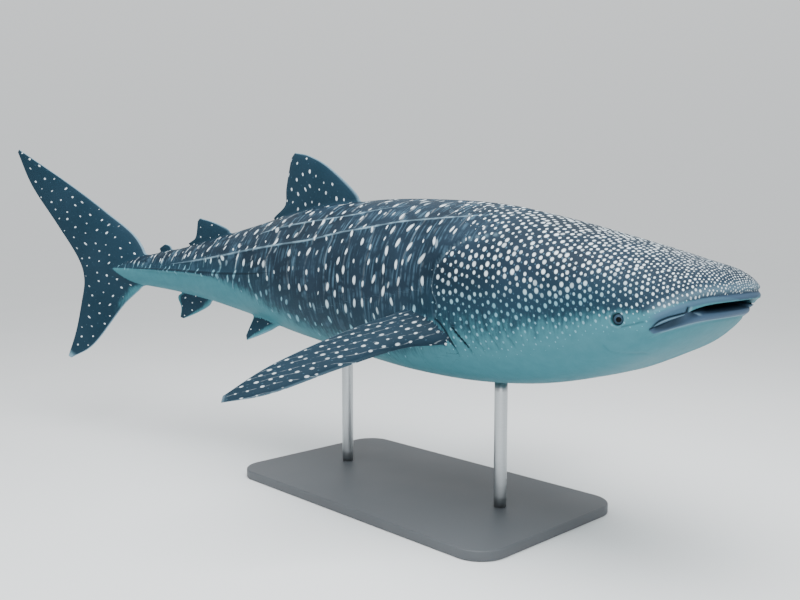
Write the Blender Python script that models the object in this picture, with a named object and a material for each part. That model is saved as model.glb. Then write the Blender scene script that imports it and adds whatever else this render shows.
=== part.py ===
"""Whale shark, life size, as a still display model on a plain stand.

Metres, +Z up. The head points along +X, the tail swings toward -Y, and the
origin is the centre of the underside of the stand's base.
Body measures are shares of the total length, from the snout (0) to the tail.
"""
import bmesh
import bpy
import numpy as np

# Sizes of the whole
TOTAL_LENGTH = 6.5
AXIS_HEIGHT = 1.38
NOSE_X = 0.328 * TOTAL_LENGTH
AXIS_Y = 0.005 * TOTAL_LENGTH
GAP = 0.0003

# The tail's swing, as a turn of the spine between two places along it
TAIL_TURN = np.radians(31.0)
TURN_START = 0.373
TURN_END = 0.882

# Where the body is divided, as shares of the total length
HEAD_END = 0.135
TRUNK_END = 0.600
STALK_END = 0.832
JAW_HINGE = 0.050
MOUTH_OPENING = (0.0036, 0.047)

# Stations along the body: share of the length, then the measure
BACK = ((-0.012, 0.024), (0.03, 0.0345), (0.06, 0.0425), (0.10, 0.0525), (0.15, 0.065), (0.20, 0.0755),
        (0.30, 0.0845), (0.40, 0.0853), (0.50, 0.0775), (0.60, 0.057), (0.70, 0.0335), (0.78, 0.0195), (0.84, 0.012))
BELLY = ((-0.012, 0.034), (0.03, 0.042), (0.06, 0.050), (0.10, 0.0622), (0.15, 0.0745), (0.20, 0.0812),
         (0.30, 0.0835), (0.40, 0.0755), (0.50, 0.065), (0.60, 0.046), (0.70, 0.027), (0.78, 0.0165), (0.84, 0.010))
HALF_WIDTH = ((-0.012, 0.077), (0.06, 0.077), (0.10, 0.080), (0.15, 0.084), (0.20, 0.084), (0.30, 0.080),
              (0.40, 0.074), (0.50, 0.062), (0.60, 0.046), (0.70, 0.030), (0.765, 0.0215),
              (0.80, 0.013), (0.84, 0.004))
WIDEST = ((-0.012, 0.003), (0.000, 0.001), (0.013, -0.004), (0.031, -0.0125), (0.05, -0.0125),
          (0.10, -0.006), (0.20, 0.0), (0.40, 0.004), (0.60, 0.003), (0.79, 0.001))
BACK_ROUNDNESS = ((-0.012, 2.4), (0.10, 2.5), (0.20, 2.3), (0.40, 2.0), (0.60, 1.9), (0.79, 1.7))
BELLY_ROUNDNESS = ((-0.012, 2.4), (0.10, 2.6), (0.20, 2.5), (0.40, 2.3), (0.60, 2.1), (0.79, 1.8))

# The rounding of the snout: how far back it reaches, and how square it is
SNOUT_TIP = -0.012
SNOUT_TOP = (0.030, 2.5)
SNOUT_CHIN = (0.090, 1.7)
SNOUT_PLAN = (0.088, 2.3)
JAW_SETBACK = 0.011

# Fin outlines as (along the body, height above the axis)
FIRST_DORSAL_FRONT = ((0.408, 0.070), (0.422, 0.0930), (0.468, 0.1250), (0.502, 0.1395), (0.5253, 0.1440))
FIRST_DORSAL_BACK = ((0.518, 0.062), (0.5625, 0.0660), (0.5430, 0.0835), (0.5405, 0.104), (0.5320, 0.1375))
SECOND_DORSAL_FRONT = ((0.622, 0.038), (0.632, 0.0525), (0.656, 0.0630), (0.682, 0.0695))
SECOND_DORSAL_BACK = ((0.676, 0.024), (0.7015, 0.0350), (0.6900, 0.0450), (0.6860, 0.0655))
FINLET_FRONT = ((0.721, 0.020), (0.728, 0.0325), (0.737, 0.0362))
FINLET_BACK = ((0.740, 0.016), (0.747, 0.0285), (0.741, 0.0345))
ANAL_FRONT = ((0.655, -0.022), (0.668, -0.0400), (0.690, -0.0515), (0.711, -0.0595))
ANAL_BACK = ((0.700, -0.018), (0.7190, -0.0300), (0.7150, -0.0450), (0.7165, -0.0580))
CAUDAL_FRONT = ((0.888, -0.1190), (0.852, -0.0990), (0.805, -0.0460), (0.764, -0.0060), (0.778, 0.0400),
                (0.826, 0.0775), (0.883, 0.1160), (0.960, 0.1630))
CAUDAL_BACK = ((0.893, -0.1165), (0.8800, -0.0830), (0.8705, -0.0460), (0.8645, -0.0120), (0.8730, 0.0170),
               (0.903, 0.0608), (0.941, 0.1135), (0.962, 0.1590))
CAUDAL_THICKNESS = (0.0025, 0.008, 0.024, 0.010, 0.0025)
CAUDAL_FORK = 3.0 / 7.0
LOBE_GAP = 0.0001

# Paired fins: outlines as (out along the fin, back across it)
PECTORAL_FRONT = ((-0.040, 0.034), (-0.002, 0.009), (0.043, 0.014), (0.102, 0.006), (0.159, -0.004),
                  (0.200, -0.002))
PECTORAL_BACK = ((-0.035, 0.062), (0.006, 0.067), (0.040, 0.056), (0.088, 0.047), (0.154, 0.0275), (0.198, 0.005))
PECTORAL_ROOT = (0.207, 0.078, -0.044)
PECTORAL_OUT = (0.115, 0.158, -0.040)
PECTORAL_CHORD = (0.050, -0.010, 0.033)
PELVIC_FRONT = ((-0.020, 0.000), (0.010, 0.001), (0.038, 0.006), (0.063, 0.013))
PELVIC_BACK = ((-0.020, 0.055), (0.005, 0.066), (0.036, 0.054), (0.063, 0.021))
PELVIC_ROOT = (0.505, 0.030, -0.048)
PELVIC_OUT = (0.044, 0.020, -0.030)
PELVIC_CHORD = (0.032, -0.004, 0.006)

# Eyes and stand
EYE_PLACE = (0.0522, -0.0073)
EYE_RADIUS = 0.030
EYE_SUNK = 0.022
BASE_SIZE = (2.30, 1.30, 0.06)
BASE_CORNER = 0.18
ROD_RADIUS = 0.040
ROD_PLACES = (0.22, 0.44)

# How finely the surfaces are divided
RING_POINTS = 44
FIN_COLUMNS = 9


def clear_scene():
    """Empties the scene."""
    for obj in list(bpy.data.objects):
        bpy.data.objects.remove(obj, do_unlink=True)


def new_collection(name):
    """Adds a collection to the scene."""
    collection = bpy.data.collections.new(name)
    bpy.context.scene.collection.children.link(collection)
    return collection


def material(name, colour, roughness, metallic=0.0):
    """A plain material of one colour."""
    made = bpy.data.materials.new(name)
    made.use_nodes = True
    shader = made.node_tree.nodes["Principled BSDF"]
    shader.inputs["Base Color"].default_value = (colour[0], colour[1], colour[2], 1.0)
    shader.inputs["Roughness"].default_value = roughness
    shader.inputs["Metallic"].default_value = metallic
    made.diffuse_color = (colour[0], colour[1], colour[2], 1.0)
    return made


def along(s, table):
    """A measure at s, read smoothly between the stations of a table."""
    place = np.array([row[0] for row in table], dtype=float)
    value = np.array([row[1] for row in table], dtype=float)
    step = np.diff(place)
    rate = np.diff(value) / step
    slope = np.concatenate([[rate[0]], (rate[:-1] * step[1:] + rate[1:] * step[:-1]) / (step[1:] + step[:-1]),
                            [rate[-1]]])
    s = np.clip(np.asarray(s, dtype=float), place[0], place[-1])
    cell = np.clip(np.searchsorted(place, s) - 1, 0, len(step) - 1)
    width = step[cell]
    t = (s - place[cell]) / width
    rise = value[cell] * (1 + 2 * t) * (1 - t) ** 2 + value[cell + 1] * t * t * (3 - 2 * t)
    return rise + width * (slope[cell] * t * (1 - t) ** 2 + slope[cell + 1] * t * t * (t - 1))


def curve(points, share):
    """Points along a smooth curve through the given ones, at shares 0 to 1 of their number."""
    points = np.array(points, dtype=float)
    place = np.linspace(0.0, 1.0, len(points))
    return np.stack([along(share, np.stack([place, column], -1)) for column in points.T], -1)


def spine(s):
    """Place and heading of the spine at s: the heading turns smoothly over the tail."""
    steps = np.linspace(-0.05, 1.0, 526)
    share = np.clip((steps - TURN_START) / (TURN_END - TURN_START), 0.0, 1.0)
    turn = TAIL_TURN * share * share * (3 - 2 * share)
    middle = (turn[1:] + turn[:-1]) / 2
    x = 0.05 - np.concatenate([[0.0], np.cumsum(np.cos(middle)) / 500])
    y = -np.concatenate([[0.0], np.cumsum(np.sin(middle)) / 500])
    return np.interp(s, steps, x), np.interp(s, steps, y), np.interp(s, steps, turn)


def placed(s, side, height):
    """A point in metres from its share along the spine, to the animal's left of it and above it."""
    x, y, turn = spine(s)
    return np.stack([NOSE_X + TOTAL_LENGTH * (x - np.sin(turn) * side),
                     AXIS_Y + TOTAL_LENGTH * (y + np.cos(turn) * side),
                     AXIS_HEIGHT + TOTAL_LENGTH * height + 0.0 * x], -1)


def rounding(s, reach, squareness):
    """Grows from 0 at the snout's tip to 1 at its reach."""
    short = np.clip(1.0 - (s - SNOUT_TIP) / reach, 0.0, 1.0)
    return (1.0 - short ** squareness) ** (1.0 / squareness)


def body_point(s, angle, swell=0.0):
    """The body's surface at s, at an angle round it from the back (0) over the left side."""
    level = along(s, WIDEST)
    up = (along(s, BACK) - level) * rounding(s, *SNOUT_TOP) + swell
    down = (along(s, BELLY) + level) * rounding(s, *SNOUT_CHIN) + swell
    wide = along(s, HALF_WIDTH) * rounding(s, *SNOUT_PLAN) + swell
    power = np.where(np.cos(angle) > 0, along(s, BACK_ROUNDNESS), along(s, BELLY_ROUNDNESS))
    reach = (np.abs(np.sin(angle)) ** power + np.abs(np.cos(angle)) ** power) ** (-1.0 / power)
    tall = np.where(np.cos(angle) > 0, up, down)
    below = np.clip(-np.cos(angle) * reach / 0.35, 0.0, 1.0)
    ahead = np.clip((0.08 - s) / (0.08 - SNOUT_TIP), 0.0, 1.0)
    setback = JAW_SETBACK * below * below * (3 - 2 * below) * ahead
    return s + setback, wide * np.sin(angle) * reach, level + tall * np.cos(angle) * reach


def add_body(name, points, faces, finish, collection):
    """Makes a named mesh object, its faces turned outward."""
    mesh = bpy.data.meshes.new(name)
    mesh.from_pydata([tuple(map(float, point)) for point in points], [], faces)
    shape = bmesh.new()
    shape.from_mesh(mesh)
    bmesh.ops.recalc_face_normals(shape, faces=shape.faces)
    shape.to_mesh(mesh)
    shape.free()
    mesh.update()
    obj = bpy.data.objects.new(name, mesh)
    collection.objects.link(obj)
    if finish is not None:
        mesh.materials.append(finish)
    return obj


def skinned(name, rings, finish, collection, start_pole=None, end_pole=None, folded=False):
    """A closed body over a row of rings: each end a flat face, a point, or a strip folded from two sides."""
    count = rings.shape[1]
    points = list(rings.reshape(-1, 3))
    faces = []
    for row in range(rings.shape[0] - 1):
        for column in range(count):
            after = (column + 1) % count
            low = row * count
            high = low + count
            faces.append((low + column, low + after, high + after))
            faces.append((low + column, high + after, high + column))
    last = (rings.shape[0] - 1) * count
    if folded:
        for base in (0, last):
            for column in range(count // 2 - 1):
                across = count - 1 - column
                faces.append((base + column, base + column + 1, base + across))
                faces.append((base + column + 1, base + across - 1, base + across))
        return add_body(name, points, faces, finish, collection)
    if start_pole is None:
        faces.append(tuple(range(count - 1, -1, -1)))
    else:
        points.append(start_pole)
        pole = len(points) - 1
        faces.extend((pole, (column + 1) % count, column) for column in range(count))
    if end_pole is None:
        faces.append(tuple(range(last, last + count)))
    else:
        points.append(end_pole)
        pole = len(points) - 1
        faces.extend((pole, last + column, last + (column + 1) % count) for column in range(count))
    return add_body(name, points, faces, finish, collection)


def body_rings(stations, swell=0.0):
    """Rings of points round the body at the given stations."""
    angle = np.linspace(0.0, 2 * np.pi, RING_POINTS, endpoint=False)[None, :]
    s = np.asarray(stations, dtype=float)[:, None] + 0.0 * angle
    return placed(*body_point(s, angle + 0.0 * s, swell))


def head_stations(end):
    """Stations closing up toward the snout's tip."""
    share = np.linspace(0.0, 1.0, 15)[1:]
    return SNOUT_TIP + (end - SNOUT_TIP) * share ** 2.2


def body_segment(name, stations, finish, collection, swell=0.0):
    """Part of the body between flat ends, or from the snout's tip."""
    pole = None
    if stations[0] < 0.01:
        pole = placed(np.array(SNOUT_TIP), np.array(0.0), along(SNOUT_TIP, WIDEST))
    return skinned(name, body_rings(stations, swell), finish, collection, start_pole=pole)


def boolean(obj, cutter, operation):
    """Cuts or keeps part of a body with another."""
    change = obj.modifiers.new(operation.title() + " " + cutter.name, "BOOLEAN")
    change.operation = operation
    change.solver = "EXACT"
    change.object = cutter
    return change


def as_cutter(obj):
    """Marks a body as a tool that isn't part of the object."""
    obj.hide_render = True
    obj.display_type = "WIRE"
    return obj


def block(name, s_end, low, high, collection):
    """A slab through the front of the head, between two levels that follow the mouth."""
    stations = np.linspace(-0.022, s_end, 13)
    columns = np.linspace(-0.12, 0.12, 31)
    level = along(stations, WIDEST)[:, None] + 0.0 * columns[None, :]
    under = low(level, columns)
    over = high(level, columns)
    side = np.concatenate([columns, columns[::-1]])[None, :] + 0.0 * stations[:, None]
    height = np.concatenate([under, over[:, ::-1]], 1)
    rings = placed(stations[:, None] + 0.0 * side, side, height)
    return as_cutter(skinned(name, rings, None, collection))


def lens(columns):
    """Half the mouth's opening across the head: widest in the middle, a slit at the corners."""
    half_opening, reach = MOUTH_OPENING
    return half_opening * np.clip(1.0 - (columns / reach) ** 2, 0.04, 1.0)


def build_head(parts, cutters, finish):
    """Head and lower jaw: one rounded form, divided along the mouth."""
    gap = GAP / TOTAL_LENGTH
    head = body_segment("head", head_stations(HEAD_END - gap / 2), finish, parts)
    jaw = body_segment("lower_jaw", head_stations(HEAD_END - gap / 2), finish, parts)
    half = gap / 2
    outer = block("jaw_space", JAW_HINGE + half, lambda level, columns: 0.0 * level - 0.09,
                  lambda level, columns: level + half, cutters)
    inner = block("jaw_shape", JAW_HINGE - half, lambda level, columns: 0.0 * level - 0.09,
                  lambda level, columns: level - half, cutters)
    opening = block("mouth_opening", JAW_HINGE - 0.008, lambda level, columns: level - lens(columns),
                    lambda level, columns: level + lens(columns), cutters)
    boolean(head, outer, "DIFFERENCE")
    boolean(head, opening, "DIFFERENCE")
    boolean(jaw, inner, "INTERSECT")
    boolean(jaw, opening, "DIFFERENCE")
    return head


def build_trunk_and_stalk(parts, cutters, finish):
    """Trunk and tail stalk as smooth forms with flat ends a hair apart."""
    half = GAP / TOTAL_LENGTH / 2
    trunk = np.linspace(HEAD_END + half, TRUNK_END - half, 19)
    body_segment("trunk", trunk, finish, parts)
    stalk = np.linspace(TRUNK_END + half, STALK_END, 9)
    body_segment("tail_stalk", stalk, finish, parts)
    whole = np.concatenate([head_stations(HEAD_END - half), trunk, stalk, [STALK_END + 2 * half]])
    swollen = body_segment("body_room", whole, None, cutters, swell=GAP / TOTAL_LENGTH)
    return as_cutter(swollen)


def fin_rings(front, back, thickness, place, rows, extent=(0.0, 1.0)):
    """Sections across a fin: a rounded front edge, thickest near a third back, a thin rear edge."""
    share = np.linspace(extent[0], extent[1], rows)
    first = curve(front, share)
    last = curve(back, share)
    across = (1.0 - np.cos(np.linspace(0.0, np.pi, FIN_COLUMNS))) / 2
    form = 1.9 * np.sqrt(across) * (1.0 - across) + 0.10
    thick = np.interp(share, np.linspace(0.0, 1.0, len(thickness)), thickness)
    upper = np.concatenate([across, across[::-1]])
    offset = np.concatenate([form, -form[::-1]])
    flat = first[:, None, :] + (last - first)[:, None, :] * upper[None, :, None]
    return place(flat[..., 0], flat[..., 1], thick[:, None] * offset[None, :] / 2)


def median_place(a, b, h):
    """Places a fin that stands in the animal's middle plane."""
    return placed(a, h, b)


def paired_place(root, out, chord, mirror):
    """Gives the placing of a fin at the side: out along it, back across it and through it."""
    out = np.array(out)
    out = out / np.linalg.norm(out)
    chord = np.array(chord)
    normal = np.cross(out, chord)
    normal = normal / np.linalg.norm(normal)
    across = np.cross(normal, out)

    def place(a, b, h):
        spot = np.array(root) + a[..., None] * out + b[..., None] * across + h[..., None] * normal
        return placed(spot[..., 0], mirror * spot[..., 1], spot[..., 2])
    return place


def build_median_fins(parts, body_room, finish):
    """The fins of the middle plane, each trimmed to the body."""
    fins = (("dorsal_fin_first", FIRST_DORSAL_FRONT, FIRST_DORSAL_BACK, (0.017, 0.010, 0.004), 9),
            ("dorsal_fin_second", SECOND_DORSAL_FRONT, SECOND_DORSAL_BACK, (0.008, 0.005, 0.0025), 7),
            ("dorsal_finlet", FINLET_FRONT, FINLET_BACK, (0.004, 0.003, 0.0018), 5),
            ("anal_fin", ANAL_FRONT, ANAL_BACK, (0.008, 0.005, 0.0025), 7))
    for name, front, back, thickness, rows in fins:
        rings = fin_rings(front, back, thickness, median_place, rows)
        fin = skinned(name, rings, finish, parts, folded=True)
        boolean(fin, body_room, "DIFFERENCE")
    lobes = (("caudal_fin_lower", (0.0, CAUDAL_FORK - LOBE_GAP), 11),
             ("caudal_fin_upper", (CAUDAL_FORK + LOBE_GAP, 1.0), 14))
    for name, extent, rows in lobes:
        rings = fin_rings(CAUDAL_FRONT, CAUDAL_BACK, CAUDAL_THICKNESS, median_place, rows, extent)
        fin = skinned(name, rings, finish, parts, folded=True)
        boolean(fin, body_room, "DIFFERENCE")


def build_paired_fins(parts, body_room, finish):
    """Pectoral and pelvic fins, right and left alike."""
    for side, mirror in (("right", -1.0), ("left", 1.0)):
        place = paired_place(PECTORAL_ROOT, PECTORAL_OUT, PECTORAL_CHORD, mirror)
        rings = fin_rings(PECTORAL_FRONT, PECTORAL_BACK, (0.020, 0.018, 0.012, 0.008, 0.0035), place, 13)
        fin = skinned("pectoral_fin_" + side, rings, finish, parts, folded=True)
        boolean(fin, body_room, "DIFFERENCE")
        place = paired_place(PELVIC_ROOT, PELVIC_OUT, PELVIC_CHORD, mirror)
        rings = fin_rings(PELVIC_FRONT, PELVIC_BACK, (0.008, 0.005, 0.0025), place, 7)
        fin = skinned("pelvic_fin_" + side, rings, finish, parts, folded=True)
        boolean(fin, body_room, "DIFFERENCE")


def ball(name, centre, radius, finish, collection):
    """A round body."""
    rows = 8
    polar = np.linspace(0.0, np.pi, rows + 1)[1:-1, None]
    turn = np.linspace(0.0, 2 * np.pi, 16, endpoint=False)[None, :]
    rings = np.stack([np.sin(polar) * np.cos(turn), np.cos(polar) + 0.0 * turn, np.sin(polar) * np.sin(turn)], -1)
    start = centre + radius * np.array([0.0, 1.0, 0.0])
    end = centre - radius * np.array([0.0, 1.0, 0.0])
    return skinned(name, centre + radius * rings, finish, collection, start_pole=start, end_pole=end)


def build_eyes(parts, cutters, head, finish):
    """Two small round eyes, sunk in sockets at the sides of the head."""
    s, level = EYE_PLACE
    angles = np.linspace(0.4 * np.pi, 0.6 * np.pi, 201)
    _, sides, heights = body_point(np.full(201, s), angles)
    side = np.interp(-level, -heights, sides)
    for name, mirror in (("right", -1.0), ("left", 1.0)):
        outward = np.array([0.0, mirror, 0.0])
        centre = placed(np.array(s), np.array(mirror * side), np.array(level)) - EYE_SUNK * outward
        ball("eye_" + name, centre, EYE_RADIUS, finish, parts)
        socket = as_cutter(ball("socket_" + name, centre, EYE_RADIUS + 2 * GAP, None, cutters))
        boolean(head, socket, "DIFFERENCE")


def build_stand(parts, cutters, body_room, base_finish, rod_finish):
    """A flat base with round corners, and two short rods up to the belly."""
    long, wide, thick = BASE_SIZE
    turn = np.linspace(0.0, 2 * np.pi, 48, endpoint=False)
    corner_x = np.sign(np.cos(turn)) * (long / 2 - BASE_CORNER)
    corner_y = np.sign(np.sin(turn + 1e-9)) * (wide / 2 - BASE_CORNER)
    x = corner_x + BASE_CORNER * np.cos(turn + np.pi / 96)
    y = corner_y + BASE_CORNER * np.sin(turn + np.pi / 96)
    rings = np.stack([np.stack([x, y, 0.0 * x], -1), np.stack([x, y, 0.0 * x + thick], -1)])
    skinned("stand_base", rings, base_finish, parts)
    for name, s in zip(("front", "rear"), ROD_PLACES):
        x, y, _ = placed(np.array(s), np.array(0.0), np.array(0.0))
        circle = np.stack([x + ROD_RADIUS * np.cos(turn[::2]), y + ROD_RADIUS * np.sin(turn[::2])], -1)
        heights = (thick + GAP, AXIS_HEIGHT)
        rings = np.stack([np.concatenate([circle, np.full((24, 1), height)], -1) for height in heights])
        rod = skinned("stand_rod_" + name, rings, rod_finish, parts)
        boolean(rod, body_room, "DIFFERENCE")


def build():
    """Builds the shark and its stand."""
    clear_scene()
    parts = new_collection("whale_shark_display_model")
    cutters = new_collection("cutters")
    skin = material("shark_skin", (0.085, 0.125, 0.160), 0.55)
    eye = material("eye_surface", (0.020, 0.022, 0.025), 0.15)
    base = material("base_paint", (0.075, 0.080, 0.085), 0.50)
    rod = material("rod_steel", (0.55, 0.56, 0.57), 0.35, 1.0)
    head = build_head(parts, cutters, skin)
    body_room = build_trunk_and_stalk(parts, cutters, skin)
    build_median_fins(parts, body_room, skin)
    build_paired_fins(parts, body_room, skin)
    build_eyes(parts, cutters, head, eye)
    build_stand(parts, cutters, body_room, base, rod)


build()
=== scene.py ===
import bpy
import numpy as np
from bpy.props import FloatProperty, FloatVectorProperty, IntProperty, PointerProperty
from mathutils import Euler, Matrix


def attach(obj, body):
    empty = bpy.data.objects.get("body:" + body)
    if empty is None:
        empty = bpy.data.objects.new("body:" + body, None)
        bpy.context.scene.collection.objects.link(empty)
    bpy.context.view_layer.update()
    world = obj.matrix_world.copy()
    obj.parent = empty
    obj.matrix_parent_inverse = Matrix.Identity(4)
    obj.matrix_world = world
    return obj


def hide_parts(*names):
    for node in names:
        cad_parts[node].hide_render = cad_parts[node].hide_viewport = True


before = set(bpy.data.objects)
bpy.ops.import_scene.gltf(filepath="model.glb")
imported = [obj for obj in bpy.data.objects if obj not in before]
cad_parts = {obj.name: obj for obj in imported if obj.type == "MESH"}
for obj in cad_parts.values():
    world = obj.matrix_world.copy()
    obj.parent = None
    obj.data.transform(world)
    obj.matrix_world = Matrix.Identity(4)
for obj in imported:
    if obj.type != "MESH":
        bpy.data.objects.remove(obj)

bl_info = {
    "name": "Whale Shark Display Model",
    "version": (1, 0, 0),
    "blender": (4, 5, 0),
    "location": "View3D > Sidebar > Whale Shark",
    "description": "Skin, eyes and stand of a life-size whale shark model, with a plain studio",
    "category": "Add Mesh",
}

# The frame's own measures: body sizes are shares of the total length, from the snout (0) to the tail
TOTAL_LENGTH = 6.5
AXIS_HEIGHT = 1.38
NOSE_X = 0.328 * TOTAL_LENGTH
AXIS_Y = 0.005 * TOTAL_LENGTH
TAIL_TURN = np.radians(31.0)
TURN_START = 0.373
TURN_END = 0.882
SNOUT_TIP = -0.012
BODY_END = 0.832

# Stations along the body: share of the length, then the measure
BACK = ((-0.012, 0.024), (0.03, 0.0345), (0.06, 0.0425), (0.10, 0.0525), (0.15, 0.065), (0.20, 0.0755),
        (0.30, 0.0845), (0.40, 0.0853), (0.50, 0.0775), (0.60, 0.057), (0.70, 0.0335), (0.78, 0.0195),
        (0.84, 0.012))
BELLY = ((-0.012, 0.034), (0.03, 0.042), (0.06, 0.050), (0.10, 0.0622), (0.15, 0.0745), (0.20, 0.0812),
         (0.30, 0.0835), (0.40, 0.0755), (0.50, 0.065), (0.60, 0.046), (0.70, 0.027), (0.78, 0.0165),
         (0.84, 0.010))
HALF_WIDTH = ((-0.012, 0.077), (0.06, 0.077), (0.10, 0.080), (0.15, 0.084), (0.20, 0.084), (0.30, 0.080),
              (0.40, 0.074), (0.50, 0.062), (0.60, 0.046), (0.70, 0.030), (0.765, 0.0215),
              (0.80, 0.013), (0.84, 0.004))
MOUTH_LEVEL = ((-0.012, 0.003), (0.000, 0.001), (0.013, -0.004), (0.031, -0.0125), (0.05, -0.0125),
               (0.10, -0.006), (0.20, 0.0), (0.40, 0.004), (0.60, 0.003), (0.79, 0.001))
BACK_ROUNDNESS = ((-0.012, 2.4), (0.10, 2.5), (0.20, 2.3), (0.40, 2.0), (0.60, 1.9), (0.79, 1.7))
BELLY_ROUNDNESS = ((-0.012, 2.4), (0.10, 2.6), (0.20, 2.5), (0.40, 2.3), (0.60, 2.1), (0.79, 1.8))
SNOUT_TOP = (0.030, 2.5)
SNOUT_CHIN = (0.090, 1.7)
SNOUT_PLAN = (0.088, 2.3)
JAW_SETBACK = 0.011

# Fin outlines as (along the body, height), and for paired fins (out along the fin, back across it)
FIRST_DORSAL = (((0.408, 0.070), (0.422, 0.0930), (0.468, 0.1250), (0.502, 0.1395), (0.5253, 0.1440)),
                ((0.518, 0.062), (0.5625, 0.0660), (0.5430, 0.0835), (0.5405, 0.104), (0.5320, 0.1375)))
SECOND_DORSAL = (((0.622, 0.038), (0.632, 0.0525), (0.656, 0.0630), (0.682, 0.0695)),
                 ((0.676, 0.024), (0.7015, 0.0350), (0.6900, 0.0450), (0.6860, 0.0655)))
FINLET = (((0.721, 0.020), (0.728, 0.0325), (0.737, 0.0362)),
          ((0.740, 0.016), (0.747, 0.0285), (0.741, 0.0345)))
ANAL = (((0.655, -0.022), (0.668, -0.0400), (0.690, -0.0515), (0.711, -0.0595)),
        ((0.700, -0.018), (0.7190, -0.0300), (0.7150, -0.0450), (0.7165, -0.0580)))
CAUDAL = (((0.888, -0.1190), (0.852, -0.0990), (0.805, -0.0460), (0.764, -0.0060), (0.778, 0.0400),
           (0.826, 0.0775), (0.883, 0.1160), (0.960, 0.1630)),
          ((0.893, -0.1165), (0.8800, -0.0830), (0.8705, -0.0460), (0.8645, -0.0120), (0.8730, 0.0170),
           (0.903, 0.0608), (0.941, 0.1135), (0.962, 0.1590)))
PECTORAL = (((-0.040, 0.034), (-0.002, 0.009), (0.043, 0.014), (0.102, 0.006), (0.159, -0.004),
             (0.200, -0.002)),
            ((-0.035, 0.062), (0.006, 0.067), (0.040, 0.056), (0.088, 0.047), (0.154, 0.0275),
             (0.198, 0.005)))
PELVIC = (((-0.020, 0.000), (0.010, 0.001), (0.038, 0.006), (0.063, 0.013)),
          ((-0.020, 0.055), (0.005, 0.066), (0.036, 0.054), (0.063, 0.021)))
PECTORAL_CELL = (0.0118, 0.0062)
PECTORAL_PLACE = ((0.207, 0.078, -0.044), (0.115, 0.158, -0.040), (0.050, -0.010, 0.033))
PELVIC_PLACE = ((0.505, 0.030, -0.048), (0.044, 0.020, -0.030), (0.032, -0.004, 0.006))

# Eyes and stand, in metres; places on the body are shares of its length, and turns are radians.
# The cornea's rise is a share of the eye's radius, and its width an angle.
EYE_PLACE = (0.0522, -0.0073)
EYE_TURN = np.radians(22.0)
EYE_RADIUS = 0.030
EYE_SUNK = 0.022
CORNEA_RISE = 0.05
CORNEA_WIDTH = 0.45
BASE_SIZE = (2.30, 1.30, 0.06)
BASE_CORNER = 0.18
ROD_RADIUS = 0.040
ROD_PLACES = (0.22, 0.44)
ROD_GAP = 0.001
CLEARANCE = 0.0003

# How finely the skin is divided: ring spacing at places along the body, and points round each ring
RING_SPACING = ((-0.012, 0.0010), (-0.004, 0.0008), (0.035, 0.0007), (0.045, 0.00055), (0.062, 0.00055),
                (0.082, 0.0010), (0.10, 0.0016), (0.17, 0.0015), (0.236, 0.0013), (0.26, 0.0050),
                (0.60, 0.0052), (0.84, 0.0038))
RING_POINTS = 168
MOUTH_CROWDING = 0.75

# Softening of the fins' joins: how many points out it reaches, and how it fades from one to the next
SEAM_REACH = 5
SEAM_FADE = 0.86

# The mouth and the head's small features, as (place, height) lines at either side, in shares of the length
MOUTH_REACH = 0.0560
MOUTH_HALF_OPENING = 0.0039
MOUTH_END = 0.045
LIP_DEPTH = ((-0.012, 0.0098), (0.005, 0.0102), (0.015, 0.0094), (0.024, 0.0062), (0.0296, 0.0020))
FURROW = ((0.0296, -0.0134), (0.0250, -0.0078), (0.0190, -0.0042), (0.0130, -0.0022), (0.0090, -0.0008))
SLIT = ((0.0296, -0.0134), (0.0240, -0.0104), (0.0180, -0.0072), (0.0130, -0.0048), (0.0090, -0.0030))
NOSTRIL = ((0.0092, -0.0028), (0.0088, -0.0002), (0.0084, 0.0028))
CHEEK_WRINKLE = ((0.0500, -0.0128), (0.0440, -0.0112), (0.0388, -0.0097), (0.0343, -0.0082))
THROAT_FOLD = ((0.0640, -0.0279), (0.0609, -0.0325), (0.0512, -0.0337), (0.0421, -0.0329))
SPIRACLE = (0.0747, -0.0019)

# Grooves of the head: line, half width, depth, and how much painted shade each holds
GROOVES = ((FURROW, 0.0011, 0.0016, 0.85), (SLIT, 0.0012, 0.0026, 0.95), (NOSTRIL, 0.0011, 0.0024, 0.90),
           (CHEEK_WRINKLE, 0.0012, 0.0006, 0.30), (THROAT_FOLD, 0.0015, 0.0005, 0.12))
SOCKET_DEPTH = 0.0190
ORBIT_RADIUS = 0.036
ORBIT_RISE = 0.0035
SPIRACLE_DEPTH = 0.012

# Behind the head: the crease, the two open gill slits and the three closed ones
GILL_CREASE = ((0.1731, 0.0520), (0.2013, 0.0478), (0.2167, 0.0401), (0.2269, 0.0288), (0.2312, 0.0160),
               (0.2312, 0.0030), (0.2252, -0.0090), (0.2290, -0.0190))
OPEN_GILLS = (((0.2304, -0.0198), (0.2210, -0.0243), (0.2124, -0.0381), (0.2064, -0.0516)),
              ((0.2090, -0.0240), (0.2013, -0.0328), (0.1944, -0.0399), (0.1902, -0.0469)))
CLOSED_GILLS = (((0.1930, -0.0080), (0.1880, -0.0240), (0.1800, -0.0370), (0.1740, -0.0450)),
                ((0.1740, -0.0060), (0.1700, -0.0210), (0.1630, -0.0330), (0.1570, -0.0420)),
                ((0.1550, -0.0060), (0.1520, -0.0190), (0.1460, -0.0300), (0.1400, -0.0380)))

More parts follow.
